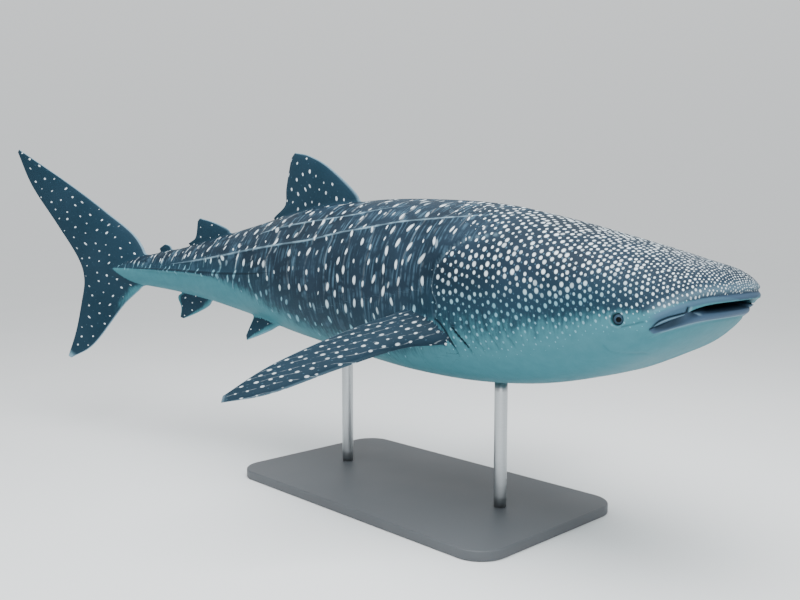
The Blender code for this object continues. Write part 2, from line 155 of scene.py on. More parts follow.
# Lines along the flank: place, then degrees round from the back
UPPER_RIDGE = ((0.30, 22.0), (0.3253, 27.0), (0.3689, 35.5), (0.4134, 39.2), (0.4682, 41.3), (0.560, 44.0))
MIDDLE_RIDGE = ((0.1859, 22.7), (0.2175, 33.5), (0.2483, 38.8), (0.2954, 43.8), (0.3347, 49.2),
                (0.3784, 53.7), (0.4288, 59.3), (0.4887, 61.8), (0.5845, 64.0), (0.6546, 67.2), (0.72, 70.0))
KEEL = ((0.4776, 84.8), (0.5623, 90.0), (0.6572, 90.2), (0.7171, 86.2), (0.7616, 81.2), (0.80, 76.0))
BELLY_EDGE = ((-0.012, 56.0), (0.0, 68.0), (0.01, 72.0), (0.03, 75.0), (0.05, 79.0), (0.073, 87.0),
              (0.09, 95.0), (0.1157, 101.0), (0.156, 106.0), (0.19, 109.0), (0.24, 115.0), (0.29, 130.0),
              (0.37, 132.0), (0.42, 132.0), (0.47, 126.0), (0.53, 115.0), (0.57, 107.0), (0.62, 97.0),
              (0.66, 91.0), (0.72, 87.0), (0.76, 82.0), (0.80, 76.0), (0.84, 72.0))
EDGE_SOFTNESS = ((0.0, 3.0), (0.03, 4.5), (0.05, 9.0), (0.08, 18.0), (0.16, 26.0), (0.30, 24.0), (0.45, 22.0),
                 (0.59, 15.0), (0.64, 2.5))

# Where the head's pattern ends: degrees round from the back, then place and how softly
HEAD_END = ((0, 0.20), (25, 0.195), (45, 0.19), (53, 0.203), (60, 0.2167), (70, 0.2269), (90, 0.2312),
            (100, 0.227), (130, 0.21))
HEAD_FADE = ((0, 0.055), (30, 0.045), (55, 0.006))

# The head's spots: their grid's start ahead of the snout, its bend and cell, and how the arc is drawn in
DOT_LEAD = 0.040
DOT_BEND = 2.6
DOT_CELL = 0.0430
ARC_DRAWN_IN = 0.0405
ARC_REACH = 0.09
DOT_RADIUS = ((-0.01, 0.23), (0.02, 0.248), (0.05, 0.265), (0.10, 0.275), (0.15, 0.262), (0.22, 0.21))
DOT_SHARE_ABOVE_EDGE = ((-22.0, 0.0), (-8.0, 0.55), (0.0, 0.70), (12.0, 0.90), (30.0, 1.0))

# The trunk's spots: spacing of their columns along the body, and of the rows round it
COLUMN_PITCH = ((0.15, 0.024), (0.25, 0.026), (0.35, 0.030), (0.45, 0.040), (0.52, 0.040), (0.62, 0.034),
                (0.66, 0.024), (0.72, 0.017), (0.83, 0.014))
ROW_PITCH = 0.0188

# Room of the body in the baked picture: place, then share of the picture's width
BAKE_ALONG = ((SNOUT_TIP, 0.0), (0.0, 0.10), (0.08, 0.26), (0.21, 0.46), (0.60, 0.86), (BODY_END, 1.0))
BAKE_MARGIN = 0.004
BAKE_BODY_HEIGHT = 0.69

# The camera: a 38 mm lens low in front, on the animal's right
CAMERA_PLACE = (3.9406, -3.9120, 1.7666)
CAMERA_DOWN = 4.973
CAMERA_ROUND = 46.26
CAMERA_LENS = 38.25

# The studio: the floor's half width and drop, and the point that the lights face
FLOOR_HALF = 60.0
FLOOR_DROP = 0.001
LIGHT_AIM = (0.0, 0.0, 1.0)

# A distance from a line, in half widths, that counts as far from it
FAR = 60.0

# Patterns a metre: the grain stands for scales under a millimetre, drawn at 4 mm so that it can show
GRAIN = 240.0
CREASES = 34.0
MOTTLE = 16.0
CLOUDS = 2.6
PEBBLES = 320.0
BRUSH_LINES = 900.0


def linear(code):
    """The linear colour of an sRGB hex code."""
    parts = [int(code[i:i + 2], 16) / 255.0 for i in (1, 3, 5)]
    return tuple(c / 12.92 if c <= 0.04045 else ((c + 0.055) / 1.055) ** 2.4 for c in parts)


def rgba(colour):
    """A colour with full cover."""
    return (colour[0], colour[1], colour[2], 1.0)


def step(low, high, value):
    """Rises smoothly from 0 at low to 1 at high: 3t^2 - 2t^3 of the share t between them."""
    t = np.clip((value - low) / (high - low), 0.0, 1.0)
    return t * t * (3 - 2 * t)


def bell(value, centre, width):
    """A bell curve: 1 at the centre, and e^(-x^2) at x widths from it."""
    return np.exp(-((value - centre) / width) ** 2)


def straight(value, table):
    """A measure at a value: straight lines through the table's stations."""
    return np.interp(value, *np.array(table, dtype=float).T)


def along(s, table):
    """A measure at s: cubic pieces through the table's stations, with weighted mean slopes."""
    place = np.array([row[0] for row in table], dtype=float)
    value = np.array([row[1] for row in table], dtype=float)
    gap = np.diff(place)
    rate = np.diff(value) / gap
    slope = np.concatenate([[rate[0]], (rate[:-1] * gap[1:] + rate[1:] * gap[:-1]) / (gap[1:] + gap[:-1]),
                            [rate[-1]]])
    s = np.clip(np.asarray(s, dtype=float), place[0], place[-1])
    cell = np.clip(np.searchsorted(place, s) - 1, 0, len(gap) - 1)
    width = gap[cell]
    t = (s - place[cell]) / width
    rise = value[cell] * (1 + 2 * t) * (1 - t) ** 2 + value[cell + 1] * t * t * (3 - 2 * t)
    return rise + width * (slope[cell] * t * (1 - t) ** 2 + slope[cell + 1] * t * t * (t - 1))


def curve(points, share):
    """Points on a smooth curve through the given ones, at shares 0 to 1 of their number."""
    points = np.array(points, dtype=float)
    place = np.linspace(0.0, 1.0, len(points))
    return np.stack([along(share, np.stack([place, column], -1)) for column in points.T], -1)


def spine(s):
    """Place and heading of the spine: the heading turns by a smooth step over the tail, and is summed up."""
    lead = 0.05
    steps = np.linspace(-lead, 1.0, 526)
    turn = TAIL_TURN * step(TURN_START, TURN_END, steps)
    middle = (turn[1:] + turn[:-1]) / 2
    x = lead - np.concatenate([[0.0], np.cumsum(np.cos(middle)) / 500])
    y = -np.concatenate([[0.0], np.cumsum(np.sin(middle)) / 500])
    return np.interp(s, steps, x), np.interp(s, steps, y), np.interp(s, steps, turn)


def placed(s, side, height):
    """Metres from the share along the spine, to the animal's left of it and above it."""
    x, y, turn = spine(s)
    return np.stack([NOSE_X + TOTAL_LENGTH * (x - np.sin(turn) * side),
                     AXIS_Y + TOTAL_LENGTH * (y + np.cos(turn) * side),
                     AXIS_HEIGHT + TOTAL_LENGTH * height + 0.0 * x], -1)


def rounding(s, reach, squareness):
    """Grows from 0 at the snout's tip to 1 at its reach, as a quarter of a superellipse."""
    short = np.clip(1.0 - (s - SNOUT_TIP) / reach, 0.0, 1.0)
    return (1.0 - short ** squareness) ** (1.0 / squareness)


def body_point(s, angle):
    """The smooth body: at s a superellipse of its own height, depth and width, angle 0 at the back."""
    level = along(s, MOUTH_LEVEL)
    up = (along(s, BACK) - level) * rounding(s, *SNOUT_TOP)
    down = (along(s, BELLY) + level) * rounding(s, *SNOUT_CHIN)
    wide = along(s, HALF_WIDTH) * rounding(s, *SNOUT_PLAN)
    power = np.where(np.cos(angle) > 0, along(s, BACK_ROUNDNESS), along(s, BELLY_ROUNDNESS))
    reach = (np.abs(np.sin(angle)) ** power + np.abs(np.cos(angle)) ** power) ** (-1.0 / power)
    tall = np.where(np.cos(angle) > 0, up, down)
    ahead = np.clip((0.08 - s) / (0.08 - SNOUT_TIP), 0.0, 1.0)
    setback = JAW_SETBACK * step(0.0, 0.35, -np.cos(angle) * reach) * ahead
    return s + setback, wide * np.sin(angle) * reach, level + tall * np.cos(angle) * reach


def ring_stations():
    """Places of the rings: the arc length along the side, divided by the wanted spacing, in equal steps."""
    fine = SNOUT_TIP + (BODY_END - SNOUT_TIP) * np.linspace(0.0, 1.0, 20001) ** 2
    s, side, _ = body_point(fine, np.full(fine.shape, np.pi / 2))
    spacing = straight(fine, RING_SPACING)
    count = np.concatenate([[0.0], np.cumsum(np.hypot(np.diff(s), np.diff(side)) / spacing[1:])])
    return np.interp(np.linspace(1.0, count[-1], int(count[-1])), count, fine)


def nearness(s, height, line, half_width):
    """How near points are to a curved line: 1 on it, falling smoothly to 0 at the half width.

    Returns that and the nearest place on the line, as a share of it.
    """
    trace = curve(line, np.linspace(0.0, 1.0, 121))
    low = trace.min(0) - half_width
    high = trace.max(0) + half_width
    close = (s > low[0]) & (s < high[0]) & (height > low[1]) & (height < high[1])
    result = np.zeros(s.shape)
    share = np.zeros(s.shape)
    gap = np.hypot(s[close][:, None] - trace[:, 0], height[close][:, None] - trace[:, 1])
    result[close] = step(half_width, 0.0, gap.min(1))
    share[close] = gap.argmin(1) / 120.0
    return result, share


def beside(s, height, line, half_width):
    """Signed distance from a curved line in half widths: below zero at one side, growing past its ends."""
    trace = curve(line, np.linspace(0.0, 1.0, 121))
    rows = (s[:, 0] > line[-1][0] - 0.03) & (s[:, 0] < line[0][0] + 0.03)
    result = np.full(s.shape, FAR)
    ahead = s[rows][..., None] - trace[:, 0]
    above = height[rows][..., None] - trace[:, 1]
    gap = np.hypot(ahead, above)
    pick = gap.argmin(-1)
    slope = np.gradient(trace, axis=0)[pick]
    turn = np.take_along_axis(ahead, pick[..., None], -1)[..., 0] * slope[..., 1]
    turn -= np.take_along_axis(above, pick[..., None], -1)[..., 0] * slope[..., 0]
    share = pick / 120.0
    strength = np.maximum(step(0.0, 0.12, share) * step(1.0, 0.75, share), 0.01)
    result[rows] = np.clip(np.sign(turn) * gap.min(-1) / (half_width * strength), -FAR, FAR)
    return result


def nearest(distances):
    """The least of several signed distances; each second one is turned over, or a false line appears."""
    turned = np.stack([value * (-1) ** number for number, value in enumerate(distances)])
    return np.take_along_axis(turned, np.abs(turned).argmin(0)[None], 0)[0]


def flank_line(degrees, s, line, half_width, fade):
    """Signed distance from a line along the flank in half widths, growing towards the line's ends."""
    radius = (along(s, BACK) + along(s, BELLY) + 2 * along(s, HALF_WIDTH)) / 4
    ends = step(line[0][0], line[0][0] + fade, s) * step(line[-1][0], line[-1][0] - fade, s)
    distance = np.radians(degrees - along(s, line)) * radius
    return np.clip(distance / (half_width * np.maximum(ends, 0.01)), -FAR, FAR)


def band(degrees, s, line, half_width, fade):
    """Nearness to a line along the flank, given in degrees round the body, faded at its ends."""
    ends = step(line[0][0], line[0][0] + fade, s) * step(line[-1][0], line[-1][0] - fade, s)
    return step(half_width, 0.0, np.abs(degrees - along(s, line))) * ends


def eye_centre(mirror):
    """The eyeball's centre: sunk from the body's side at the eye's place."""
    s, level = EYE_PLACE
    angles = np.linspace(0.4 * np.pi, 0.6 * np.pi, 201)
    _, sides, heights = body_point(np.full(201, s), angles)
    side = np.interp(-level, -heights, sides)
    return placed(s, mirror * side, level) - np.array([0.0, mirror * EYE_SUNK, 0.0])


def mouth_shape(s, side, q):
    """Distance from the mouth line, at the height q above it, in half openings; and the half opening."""
    reach = np.clip(1.0 - (np.abs(side) / MOUTH_REACH) ** 4, 0.0, 1.0)
    half = MOUTH_HALF_OPENING * np.sqrt(reach) * (s < MOUTH_END) + 1e-5
    return np.abs(q + 0.0004) / half, half


def lips_relief(s, q):
    """Height of the lips: bell curves of the height q above the mouth line, less a step in the upper lip."""
    lower = step(0.034, 0.020, s)
    lift = 0.0009 * bell(q, 0.0062, 0.0022) * step(0.034, 0.026, s)
    lift += (0.0013 * bell(q, -0.0068, 0.0024) - 0.0009 * bell(q, -0.0104, 0.0009)) * lower
    return lift - 0.0024 * step(0.020, 0.002, s) * step(0.0122, 0.0098, q) * step(-0.005, -0.002, q)


def ridges_relief(degrees, s, ridge_height):
    """Height of the ridges along the flanks, the keel of the tail stalk and the ridge of the back."""
    ridges = band(degrees, s, UPPER_RIDGE, 3.2, 0.05) + band(degrees, s, MIDDLE_RIDGE, 3.2, 0.05)
    keel = band(degrees, s, KEEL, 7.0, 0.08) * step(0.50, 0.68, s)
    back = step(9.0, 0.0, degrees) * step(0.10, 0.20, s) * step(0.44, 0.38, s)
    return ridge_height / TOTAL_LENGTH * ridges + 0.0035 * keel + 0.0012 * back


def grooves(place, height, flank):
    """Depth and painted shade of the head's grooves, of the crease behind the head and of the gill slits."""
    crease, share = nearness(place, height, GILL_CREASE, 0.0024)
    # Painted shade in the crease behind the head
    found = [(crease * step(0.0, 0.25, share), 0.0018, 0.40)]
    for line, half_width, depth, shade in GROOVES:
        near, _ = nearness(place, height, line, half_width)
        found.append((near * flank, depth, shade))
    for lines, depth, shade in ((OPEN_GILLS, 0.0030, 0.50), (CLOSED_GILLS, 0.0016, 0.175)):
        for line in lines:
            near, share = nearness(place, height, line, 0.0017)
            found.append((near * step(0.0, 0.12, share) * step(1.0, 0.85, share) * flank, depth, shade))
    return (sum(near * depth for near, depth, _ in found),
            np.maximum.reduce([near * shade for near, _, shade in found]))


def sockets(place, height, cheek):
    """The eyes' sockets, each with a low ring round it, and the spiracles: relief, painted shade in the
    hollows and pale ring.
    """
    eye = np.hypot(place - EYE_PLACE[0], height - EYE_PLACE[1]) * TOTAL_LENGTH
    hole = np.hypot(place - SPIRACLE[0], height - SPIRACLE[1]) * TOTAL_LENGTH
    spiracle = step(0.012, 0.004, hole) * cheek
    relief = ORBIT_RISE * bell(eye, ORBIT_RADIUS, 0.008) - SOCKET_DEPTH * step(0.0310, 0.0250, eye)
    # Painted shade in the spiracles and the eyes' sockets
    dark = np.maximum(0.75 * spiracle, 0.45 * step(0.0325, 0.0285, eye) * cheek)
    pale = 0.12 * bell(eye, 0.037, 0.005) * cheek
    return (relief * cheek - SPIRACLE_DEPTH * spiracle) / TOTAL_LENGTH, dark, pale


def body_surface(sizes):
    """The body as a grid: the smooth body pushed in and out along its normals by folds, lips and ridges.

    Returns the points, the mask values at each point and the coordinates of the printed pattern.
    """
    stations = ring_stations()[:, None]
    theta = np.linspace(-np.pi, np.pi, RING_POINTS + 1)[None, :]
    crowding = MOUTH_CROWDING * step(0.16, 0.08, stations)
    angle = theta + crowding / 2 * np.sin(2 * theta)
    s = stations + 0.0 * angle
    place, side, height = body_point(s, angle)
    smooth = np.stack([place, side, height], -1)
    normal = np.cross(np.gradient(smooth, axis=0), np.gradient(smooth, axis=1))
    normal /= np.linalg.norm(normal, axis=-1, keepdims=True) + 1e-12
    degrees = np.abs(np.degrees(angle))
    q = height - along(s, MOUTH_LEVEL)
    flank = np.abs(side) > 0.012
    cheek = np.abs(side) > 0.05

    # Relief along the normals, and the mouth hollowed toward a point behind it
    depth, groove_shade = grooves(place, height, flank)
    socket, socket_shade, orbit = sockets(place, height, cheek)
    between = tuple((a, (b + c) / 2) for (a, b), (_, c) in zip(FURROW, SLIT))
    fold = nearness(place, height, between, 0.0013)[0] * flank
    lift = lips_relief(s, q) + ridges_relief(degrees, s, sizes.ridge_height) + socket + 0.0006 * fold - depth
    opening, half = mouth_shape(s, side, q)
    inward = sizes.mouth_depth * step(1.12, 0.35, opening) * (half > 0.0003)
    toward = np.stack([0.05 + 0.0 * s, 0.0 * s, along(s, MOUTH_LEVEL)], -1) - smooth
    toward /= np.linalg.norm(toward, axis=-1, keepdims=True)
    moved = smooth + normal * lift[..., None] + toward * inward[..., None]

    # Paint that follows the relief: painted shade in the mouth, grooves, sockets and lip hollow, and painted
    # highlights on the crease's rim and the lower lip's border
    looks = body_looks(s, smooth, degrees, q)
    # Painted shade: the mouth's hollow is painted blue black
    looks["mouth"] = step(1.02, 0.80, opening) * (half > 0.0003)
    # Painted shade in the grooves, the sockets and the hollow of the lower lip
    looks["dark"] = np.maximum.reduce([groove_shade, socket_shade, 0.80 * flank * lip_shade(s, q)])
    # Pale marks, with painted highlights along the front rim of the crease and the lower lip's border
    rim, _ = nearness(place, height, tuple((a - 0.0016, b + 0.0012) for a, b in GILL_CREASE), 0.0014)
    flap, _ = nearness(place, height, tuple((a - 0.0016, b) for a, b in NOSTRIL), 0.0012)
    lip_border_highlight = bell(q, -straight(s, LIP_DEPTH), 0.0007) * step(0.0250, 0.0130, s)
    above_lip = step(0.0205, 0.0120, q) * step(0.0095, 0.0115, q) * step(0.038, 0.022, s)
    looks["pale"] = np.maximum.reduce([0.30 * rim, 0.55 * lip_border_highlight, 0.35 * fold ** 3, 0.4 * flap * flank,
                                       0.28 * above_lip, orbit])
    looks["ridge"] = nearest([flank_line(degrees, s, line, 0.0012, 0.06)
                              for line in (UPPER_RIDGE, MIDDLE_RIDGE)])
    looks["keel"] = flank_line(degrees, s, KEEL, 0.0016, 0.10)
    looks["slit"] = nearest([beside(place, height, line, 0.0014) for line in OPEN_GILLS])
    return placed(*np.moveaxis(moved, -1, 0)), looks


def lip_shade(s, q):
    """Painted shade in the hollow of the lower lip, from the corner to the nostril."""
    ends = step(0.0295, 0.0265, s) * step(-0.003, 0.013, s)
    return ends * (q < -0.001) * step(-0.0002, 0.0040, straight(s, LIP_DEPTH) + q)


def body_looks(s, smooth, degrees, q):
    """Mask values over the body, and the coordinates that carry its spots.

    The head's spots lie on a grid bent by the complex function ln z + cz, where z is the length from a
    point ahead of the snout and the arc from the back, so they grow from the snout to the gills without
    being sheared. Near the back the arc is drawn in first, which widens the spots there. The trunk's
    columns count the length divided by their pitch, and its rows the arc.
    """
    top = RING_POINTS // 2
    arc = np.cumsum(np.linalg.norm(np.diff(smooth, axis=1), axis=-1), axis=1)
    arc = np.concatenate([np.zeros((len(s), 1)), arc], 1)
    arc -= arc[:, top][:, None]
    length = np.cumsum(np.linalg.norm(np.diff(smooth[:, top], axis=0), axis=1))
    length = np.concatenate([[0.0], length])[:, None]
    narrowed = arc - ARC_DRAWN_IN * np.sign(arc) * (1.0 - np.exp(-np.abs(arc) / ARC_REACH))
    z = (DOT_LEAD + length) + 1j * narrowed
    bent = (np.log(z) + DOT_BEND * z) / DOT_CELL
    columns = np.cumsum(np.diff(s[:, 0]) / straight(s[1:, 0], COLUMN_PITCH))
    columns = np.concatenate([[0.0], columns])[:, None] + 0.0 * s

    # Where the belly, the head's pattern and the trunk's begin
    edge = along(s, BELLY_EDGE)
    softness = straight(s, EDGE_SOFTNESS)
    head_end = straight(degrees, HEAD_END) + 0.035 * step(50.0, 20.0, degrees)
    fade = straight(degrees, HEAD_FADE)
    head = step(head_end + fade, head_end - fade, s)
    above = edge - degrees + 12.0 * step(0.040, 0.018, s)
    spot = step(head_end - 1.6 * fade, head_end + 0.012, s) * step(0.0, 14.0, above + 14.0)
    on_back = step(4.0, -8.0, degrees - straight(s, MIDDLE_RIDGE))
    on_stalk = step(0.46, 0.60, s)

    # Lips, and a painted highlight in the belly's colour along the inside of the upper lip
    on_lip = step(0.0105, 0.0085, q) * step(0.034, 0.028, s) * (q > -0.02)
    inner_lip_highlight = step(0.0050, 0.0040, q) * (q > 0) * step(0.0085, 0.0070, s)
    upper_lip = step(0.0110, 0.0080, q) * step(0.034, 0.024, s) * (q > 0) * (1.0 - inner_lip_highlight)
    lower_lip = step(-0.0004, 0.0006, straight(s, LIP_DEPTH) + q) * step(0.0305, 0.0290, s) * (q < 0)
    stalk_end = np.interp(s, (0.765, 0.818), (195.0, 72.0))
    belly = np.maximum(step(-softness, softness, degrees - edge), inner_lip_highlight)
    belly = belly * step(-4.0, 8.0, stalk_end - degrees)
    round_share = np.clip(arc / (arc[:, -1:] - arc[:, :1]) + 0.5, 0.0, 1.0)
    return {
        "belly": belly,
        "dot": straight(s, DOT_RADIUS) * straight(above, DOT_SHARE_ABOVE_EDGE) * head * (1.0 - on_lip),
        # Painted shade of the lower flank, rising towards the belly's edge
        "low": step(-42.0, -12.0, degrees - edge) * step(0.0, 0.09, s),
        "spot": spot,
        "streak": spot * (0.06 + 0.22 * on_back + 0.58 * on_stalk * (1 - 0.3 * on_back)),
        "lip": np.maximum(0.8 * upper_lip, lower_lip),
        "dots": np.stack([bent.real, bent.imag], -1),
        "bands": np.stack([columns, arc / ROW_PITCH], -1),
        "bake": BAKE_MARGIN + np.stack([(1 - 2 * BAKE_MARGIN) * straight(s, BAKE_ALONG),
                                        BAKE_BODY_HEIGHT * round_share], -1),
    }


def grid_faces(rows, count):
    """Quads of rows by count points round: the rows of their corners, and columns that run to count."""
    row, column = np.meshgrid(np.arange(rows - 1), np.arange(count), indexing="ij")
    row, column = row.reshape(-1, 1), column.reshape(-1, 1)
    return row + np.array([0, 1, 1, 0]), column + np.array([0, 0, 1, 1])


def median_place(a, b, h):
    """Places a fin that stands in the animal's middle plane."""
    return placed(a, h, b)


def paired_place(root, out, chord, mirror):
    """Gives the placing of a fin at the side: a plane from its root, out along it and back across it."""
    out = np.array(out) / np.linalg.norm(out)
    normal = np.cross(out, np.array(chord))
    normal = normal / np.linalg.norm(normal)
    across = np.cross(normal, out)

    def place(a, b, h):
        """Out by a, back by b and off the plane by h."""
        spot = np.array(root) + a[..., None] * out + b[..., None] * across + h[..., None] * normal
        return placed(spot[..., 0], mirror * spot[..., 1], spot[..., 2])
    return place


def fin_surface(outline, thickness, place, rows, columns):
    """A fin as rings round its sections: chords between two curves, each with a rounded front and thin rear.

    Half the thickness at the share c of the chord is 1.9 sqrt(c)(1 - c) + 0.12 (4c(1 - c))^(1/4), times the
    fin's own half thickness there, which closes at the tip. With the points come the fin's coordinates: out
    along it, back across it, the shares of both, the side (1 or -1) and the distance from its front edge.
    """
    share = np.linspace(0.0, 1.0, rows)
    first = curve(outline[0], share)
    last = curve(outline[1], share)
    chord = (1.0 - np.cos(np.linspace(0.0, np.pi, columns))) / 2
    across = np.concatenate([chord, chord[-2::-1]])[None, :]
    sign = np.concatenate([np.ones(columns), -np.ones(columns - 1)])[None, :]
    form = 1.9 * np.sqrt(across) * (1 - across) + 0.12 * (4 * across * (1 - across)).clip(0) ** 0.25
    thick = np.interp(share, np.linspace(0.0, 1.0, len(thickness)), thickness)[:, None]
    thick = thick * np.maximum(1 - share[:, None] ** 24, 0.12)
    flat = first[:, None, :] + (last - first)[:, None, :] * across[..., None]
    a, b = np.moveaxis(flat, -1, 0)
    gap = across * np.linalg.norm(last - first, axis=-1)[:, None]
    points = place(a, b, thick * form * sign / 2)
    return points, (a, b, share[:, None] + 0.0 * a, across + 0.0 * a, sign + 0.0 * a, gap)


def end_strips(rows, count):
    """Triangles that close a fin's two ends by folding its ring together."""
    half = count // 2
    near = np.arange(1, half)
    first = np.stack([near, count - near, (count - near + 1) % count], -1)
    second = np.stack([near, near + 1, count - near], -1)
    columns = np.concatenate([first, second])
    return (np.full(columns.shape, 0), columns), (np.full(columns.shape, rows - 1), columns[:, ::-1])


def read(items, name, width, kind=np.float32):
    """The named values of a mesh's items as an array with a row for each item."""
    values = np.zeros(len(items) * width, kind)
    items.foreach_get(name, values)
    return values.reshape(-1, width).astype(float if kind is np.float32 else kind)


def face_outward(mesh):
    """Turns a closed mesh's faces over if its signed volume is below zero."""
    mesh.calc_loop_triangles()
    corners = read(mesh.loop_triangles, "vertices", 3, np.int32)
    a, b, c = read(mesh.vertices, "co", 3)[corners].transpose(1, 0, 2)
    if np.einsum("ij,ij->i", a, np.cross(b, c)).sum() < 0:
        mesh.flip_normals()


def mesh_from_grid(name, points, looks=None, ends=None):
    """Puts rings of points, and their corner values, into a closed mesh with its faces outward.

    The first and last ring are closed by triangles about two end points, or else folded together.
    """
    last, count = points.shape[0] - 1, points.shape[1] - 1
    vertices = points[:, :count].reshape(-1, 3)
    patches = [grid_faces(last + 1, count), *(end_strips(last + 1, count) if ends is None else ())]
    patches = [(rows, columns, rows * count + columns % count) for rows, columns in patches]
    for row, point, turned in () if ends is None else ((0, ends[0], False), (last, ends[1], True)):
        column = np.arange(count)
        tip = np.full(count, len(vertices))
        fan = np.stack([row * count + column, row * count + (column + 1) % count, tip], -1)
        columns = np.stack([column, column + 1, column], -1)
        if turned:
            fan, columns = fan[:, ::-1], columns[:, ::-1]
        vertices = np.concatenate([vertices, np.asarray(point)[None]])
        patches.append((np.full(fan.shape, row), columns, fan))
    pick_rows, pick_columns, loops = [np.concatenate([patch[k].ravel() for patch in patches])
                                      for k in range(3)]
    sides = np.concatenate([np.full(len(patch[0]), patch[0].shape[1]) for patch in patches])
    mesh = bpy.data.meshes.new(name)
    mesh.vertices.add(len(vertices))
    mesh.vertices.foreach_set("co", vertices.astype(np.float32).ravel())
    mesh.loops.add(len(loops))
    mesh.loops.foreach_set("vertex_index", loops.astype(np.int32))
    mesh.polygons.add(len(sides))
    starts = np.concatenate([[0], np.cumsum(sides)[:-1]])
    mesh.polygons.foreach_set("loop_start", starts.astype(np.int32))
    mesh.update(calc_edges=True)
    if looks:
        for label in ("dots", "bands", "bake"):
            layer = mesh.uv_layers.new(name="OFBake" if label == "bake" else label)
            layer.uv.foreach_set("vector", looks[label][pick_rows, pick_columns].astype(np.float32).ravel())
        for label, names in (("tone", ("belly", "pale", "dark")), ("print", ("dot", "spot", "lip")),
                             ("inside", ("mouth", "low", "streak")), ("lines", ("ridge", "keel", "slit"))):
            values = np.stack([looks[part][pick_rows, pick_columns] for part in names], -1)
            layer = mesh.attributes.new(label, "FLOAT_VECTOR", "CORNER")
            layer.data.foreach_set("vector", values.astype(np.float32).ravel())
    mesh.validate()
    face_outward(mesh)
    return mesh


def middles(points):
    """The middle points of the first and the last ring."""
    return points[0, :-1].mean(0), points[-1, :-1].mean(0)


def skin_body_mesh(sizes):
    """The body without fins, closed by a point at the back of the mouth and one in the tail."""
    points, looks = body_surface(sizes)
    return mesh_from_grid("body", points, looks, middles(points))


def plain_looks(a, b, share, across, sign, gap):
    """A thin pale leading edge."""
    return {"pale": 0.75 * step(0.0013, 0.0003, gap) * (share > 0.1)}


def first_dorsal_looks(a, b, share, across, sign, gap):
    """A thin pale leading edge, and no spots at the rims."""
    return {"pale": 0.55 * step(0.0013, 0.0003, gap) * (share > 0.1),
            "dot": step(0.04, 0.09, across) * step(1.0, 0.95, across)}


def ventral_looks(a, b, share, across, sign, gap):
    """A dark centre with small dots and a broad pale margin."""
    rim = np.maximum(step(0.22, 0.04, across), step(0.86, 0.99, across))
    return {"belly": 0.9 * rim, "pale": 0.6 * step(0.0013, 0.0003, gap), "dot": 1.0 - rim}


def caudal_looks(a, b, share, across, sign, gap):
    """Thin pale leading edges, a pale root of the lower lobe and a pale lower tip."""
    root = step(0.43, 0.36, share) * step(0.26, 0.02, across) * step(0.22, 0.38, share)
    return {"belly": np.maximum(root, 0.6 * step(0.07, 0.0, share)),
            "pale": 0.8 * np.maximum(step(0.0013, 0.0002, gap), step(0.045, 0.0, share)),
            "dot": step(0.03, 0.08, across) * step(1.0, 0.93, across) * (1 - root)}


def pectoral_looks(a, b, share, across, sign, gap):
    """Long spots in rows with thin lines along them, faintly pale edges, a whitish tip; pale underneath."""
    upper = sign < 0
    strip = np.where(upper, step(0.0, 0.03, across), step(0.09, 0.05, across))
    rim = np.maximum(step(0.965, 0.99, across), step(0.03, 0.0, across)) * step(0.35, 0.85, share)
    cells = np.stack([b / PECTORAL_CELL[1] + 31.0, a / PECTORAL_CELL[0]], -1)
    return {"dot": strip * step(0.985, 0.93, across) * step(1.0, 0.97, share),
            "belly": np.where(upper, 0.0, 0.85 * step(0.02, 0.10, across)),
            "pale": np.maximum(0.45 * rim, 0.75 * step(0.982, 1.0, share)),
            "dark": np.where(upper, 0.3, 0.0), "streak": np.where(upper, 0.28, 0.0),
            "low": -0.6 + 0.0 * a, "dots": cells, "bands": cells}


# The fins: name, outline, thicknesses from one end to the other, rows, columns, cell and size of the spots
MIDDLE_FINS = (
    ("first", FIRST_DORSAL, (0.017, 0.010, 0.004), 46, 22, (0.0125, 0.0165), 0.112, first_dorsal_looks),
    ("second", SECOND_DORSAL, (0.008, 0.005, 0.0025), 28, 14, (0.0160, 0.0150), 0.065, plain_looks),
    ("finlet", FINLET, (0.004, 0.003, 0.0018), 16, 10, (0.012, 0.012), 0.0, plain_looks),
    ("anal", ANAL, (0.008, 0.005, 0.0025), 28, 14, (0.014, 0.012), 0.08, ventral_looks),
    ("caudal", CAUDAL, (0.0025, 0.008, 0.024, 0.010, 0.0025), 110, 28, (0.0170, 0.0135), 0.084,
     caudal_looks),
)
PAIRED_FINS = (
    ("pectoral", PECTORAL, (0.020, 0.018, 0.012, 0.008, 0.0035), 72, 26, PECTORAL_CELL, 0.155,
     pectoral_looks),
    ("pelvic", PELVIC, (0.008, 0.005, 0.0025), 28, 14, (0.012, 0.012), 0.08, ventral_looks),
)


def fins_meshes():
    """All the fins: those of the middle, then the right pair and the left one."""
    meshes = [fin_mesh(*plan, median_place, number) for number, plan in enumerate(MIDDLE_FINS)]
    for mirror in (-1.0, 1.0):
        for plan, root in zip(PAIRED_FINS, (PECTORAL_PLACE, PELVIC_PLACE)):
            meshes.append(fin_mesh(*plan, paired_place(*root, mirror), len(meshes)))
    return meshes


# Where each fin lies in the baked picture, as (left, low, width, height)
BAKE_ROOM = ((0.31, 0.705, 0.18, 0.19), (0.004, 0.905, 0.085, 0.09), (0.095, 0.905, 0.03, 0.09),
             (0.13, 0.905, 0.08, 0.09), (0.50, 0.705, 0.496, 0.29), (0.004, 0.705, 0.296, 0.095),
             (0.215, 0.905, 0.08, 0.09), (0.004, 0.805, 0.296, 0.095), (0.30, 0.905, 0.08, 0.09))


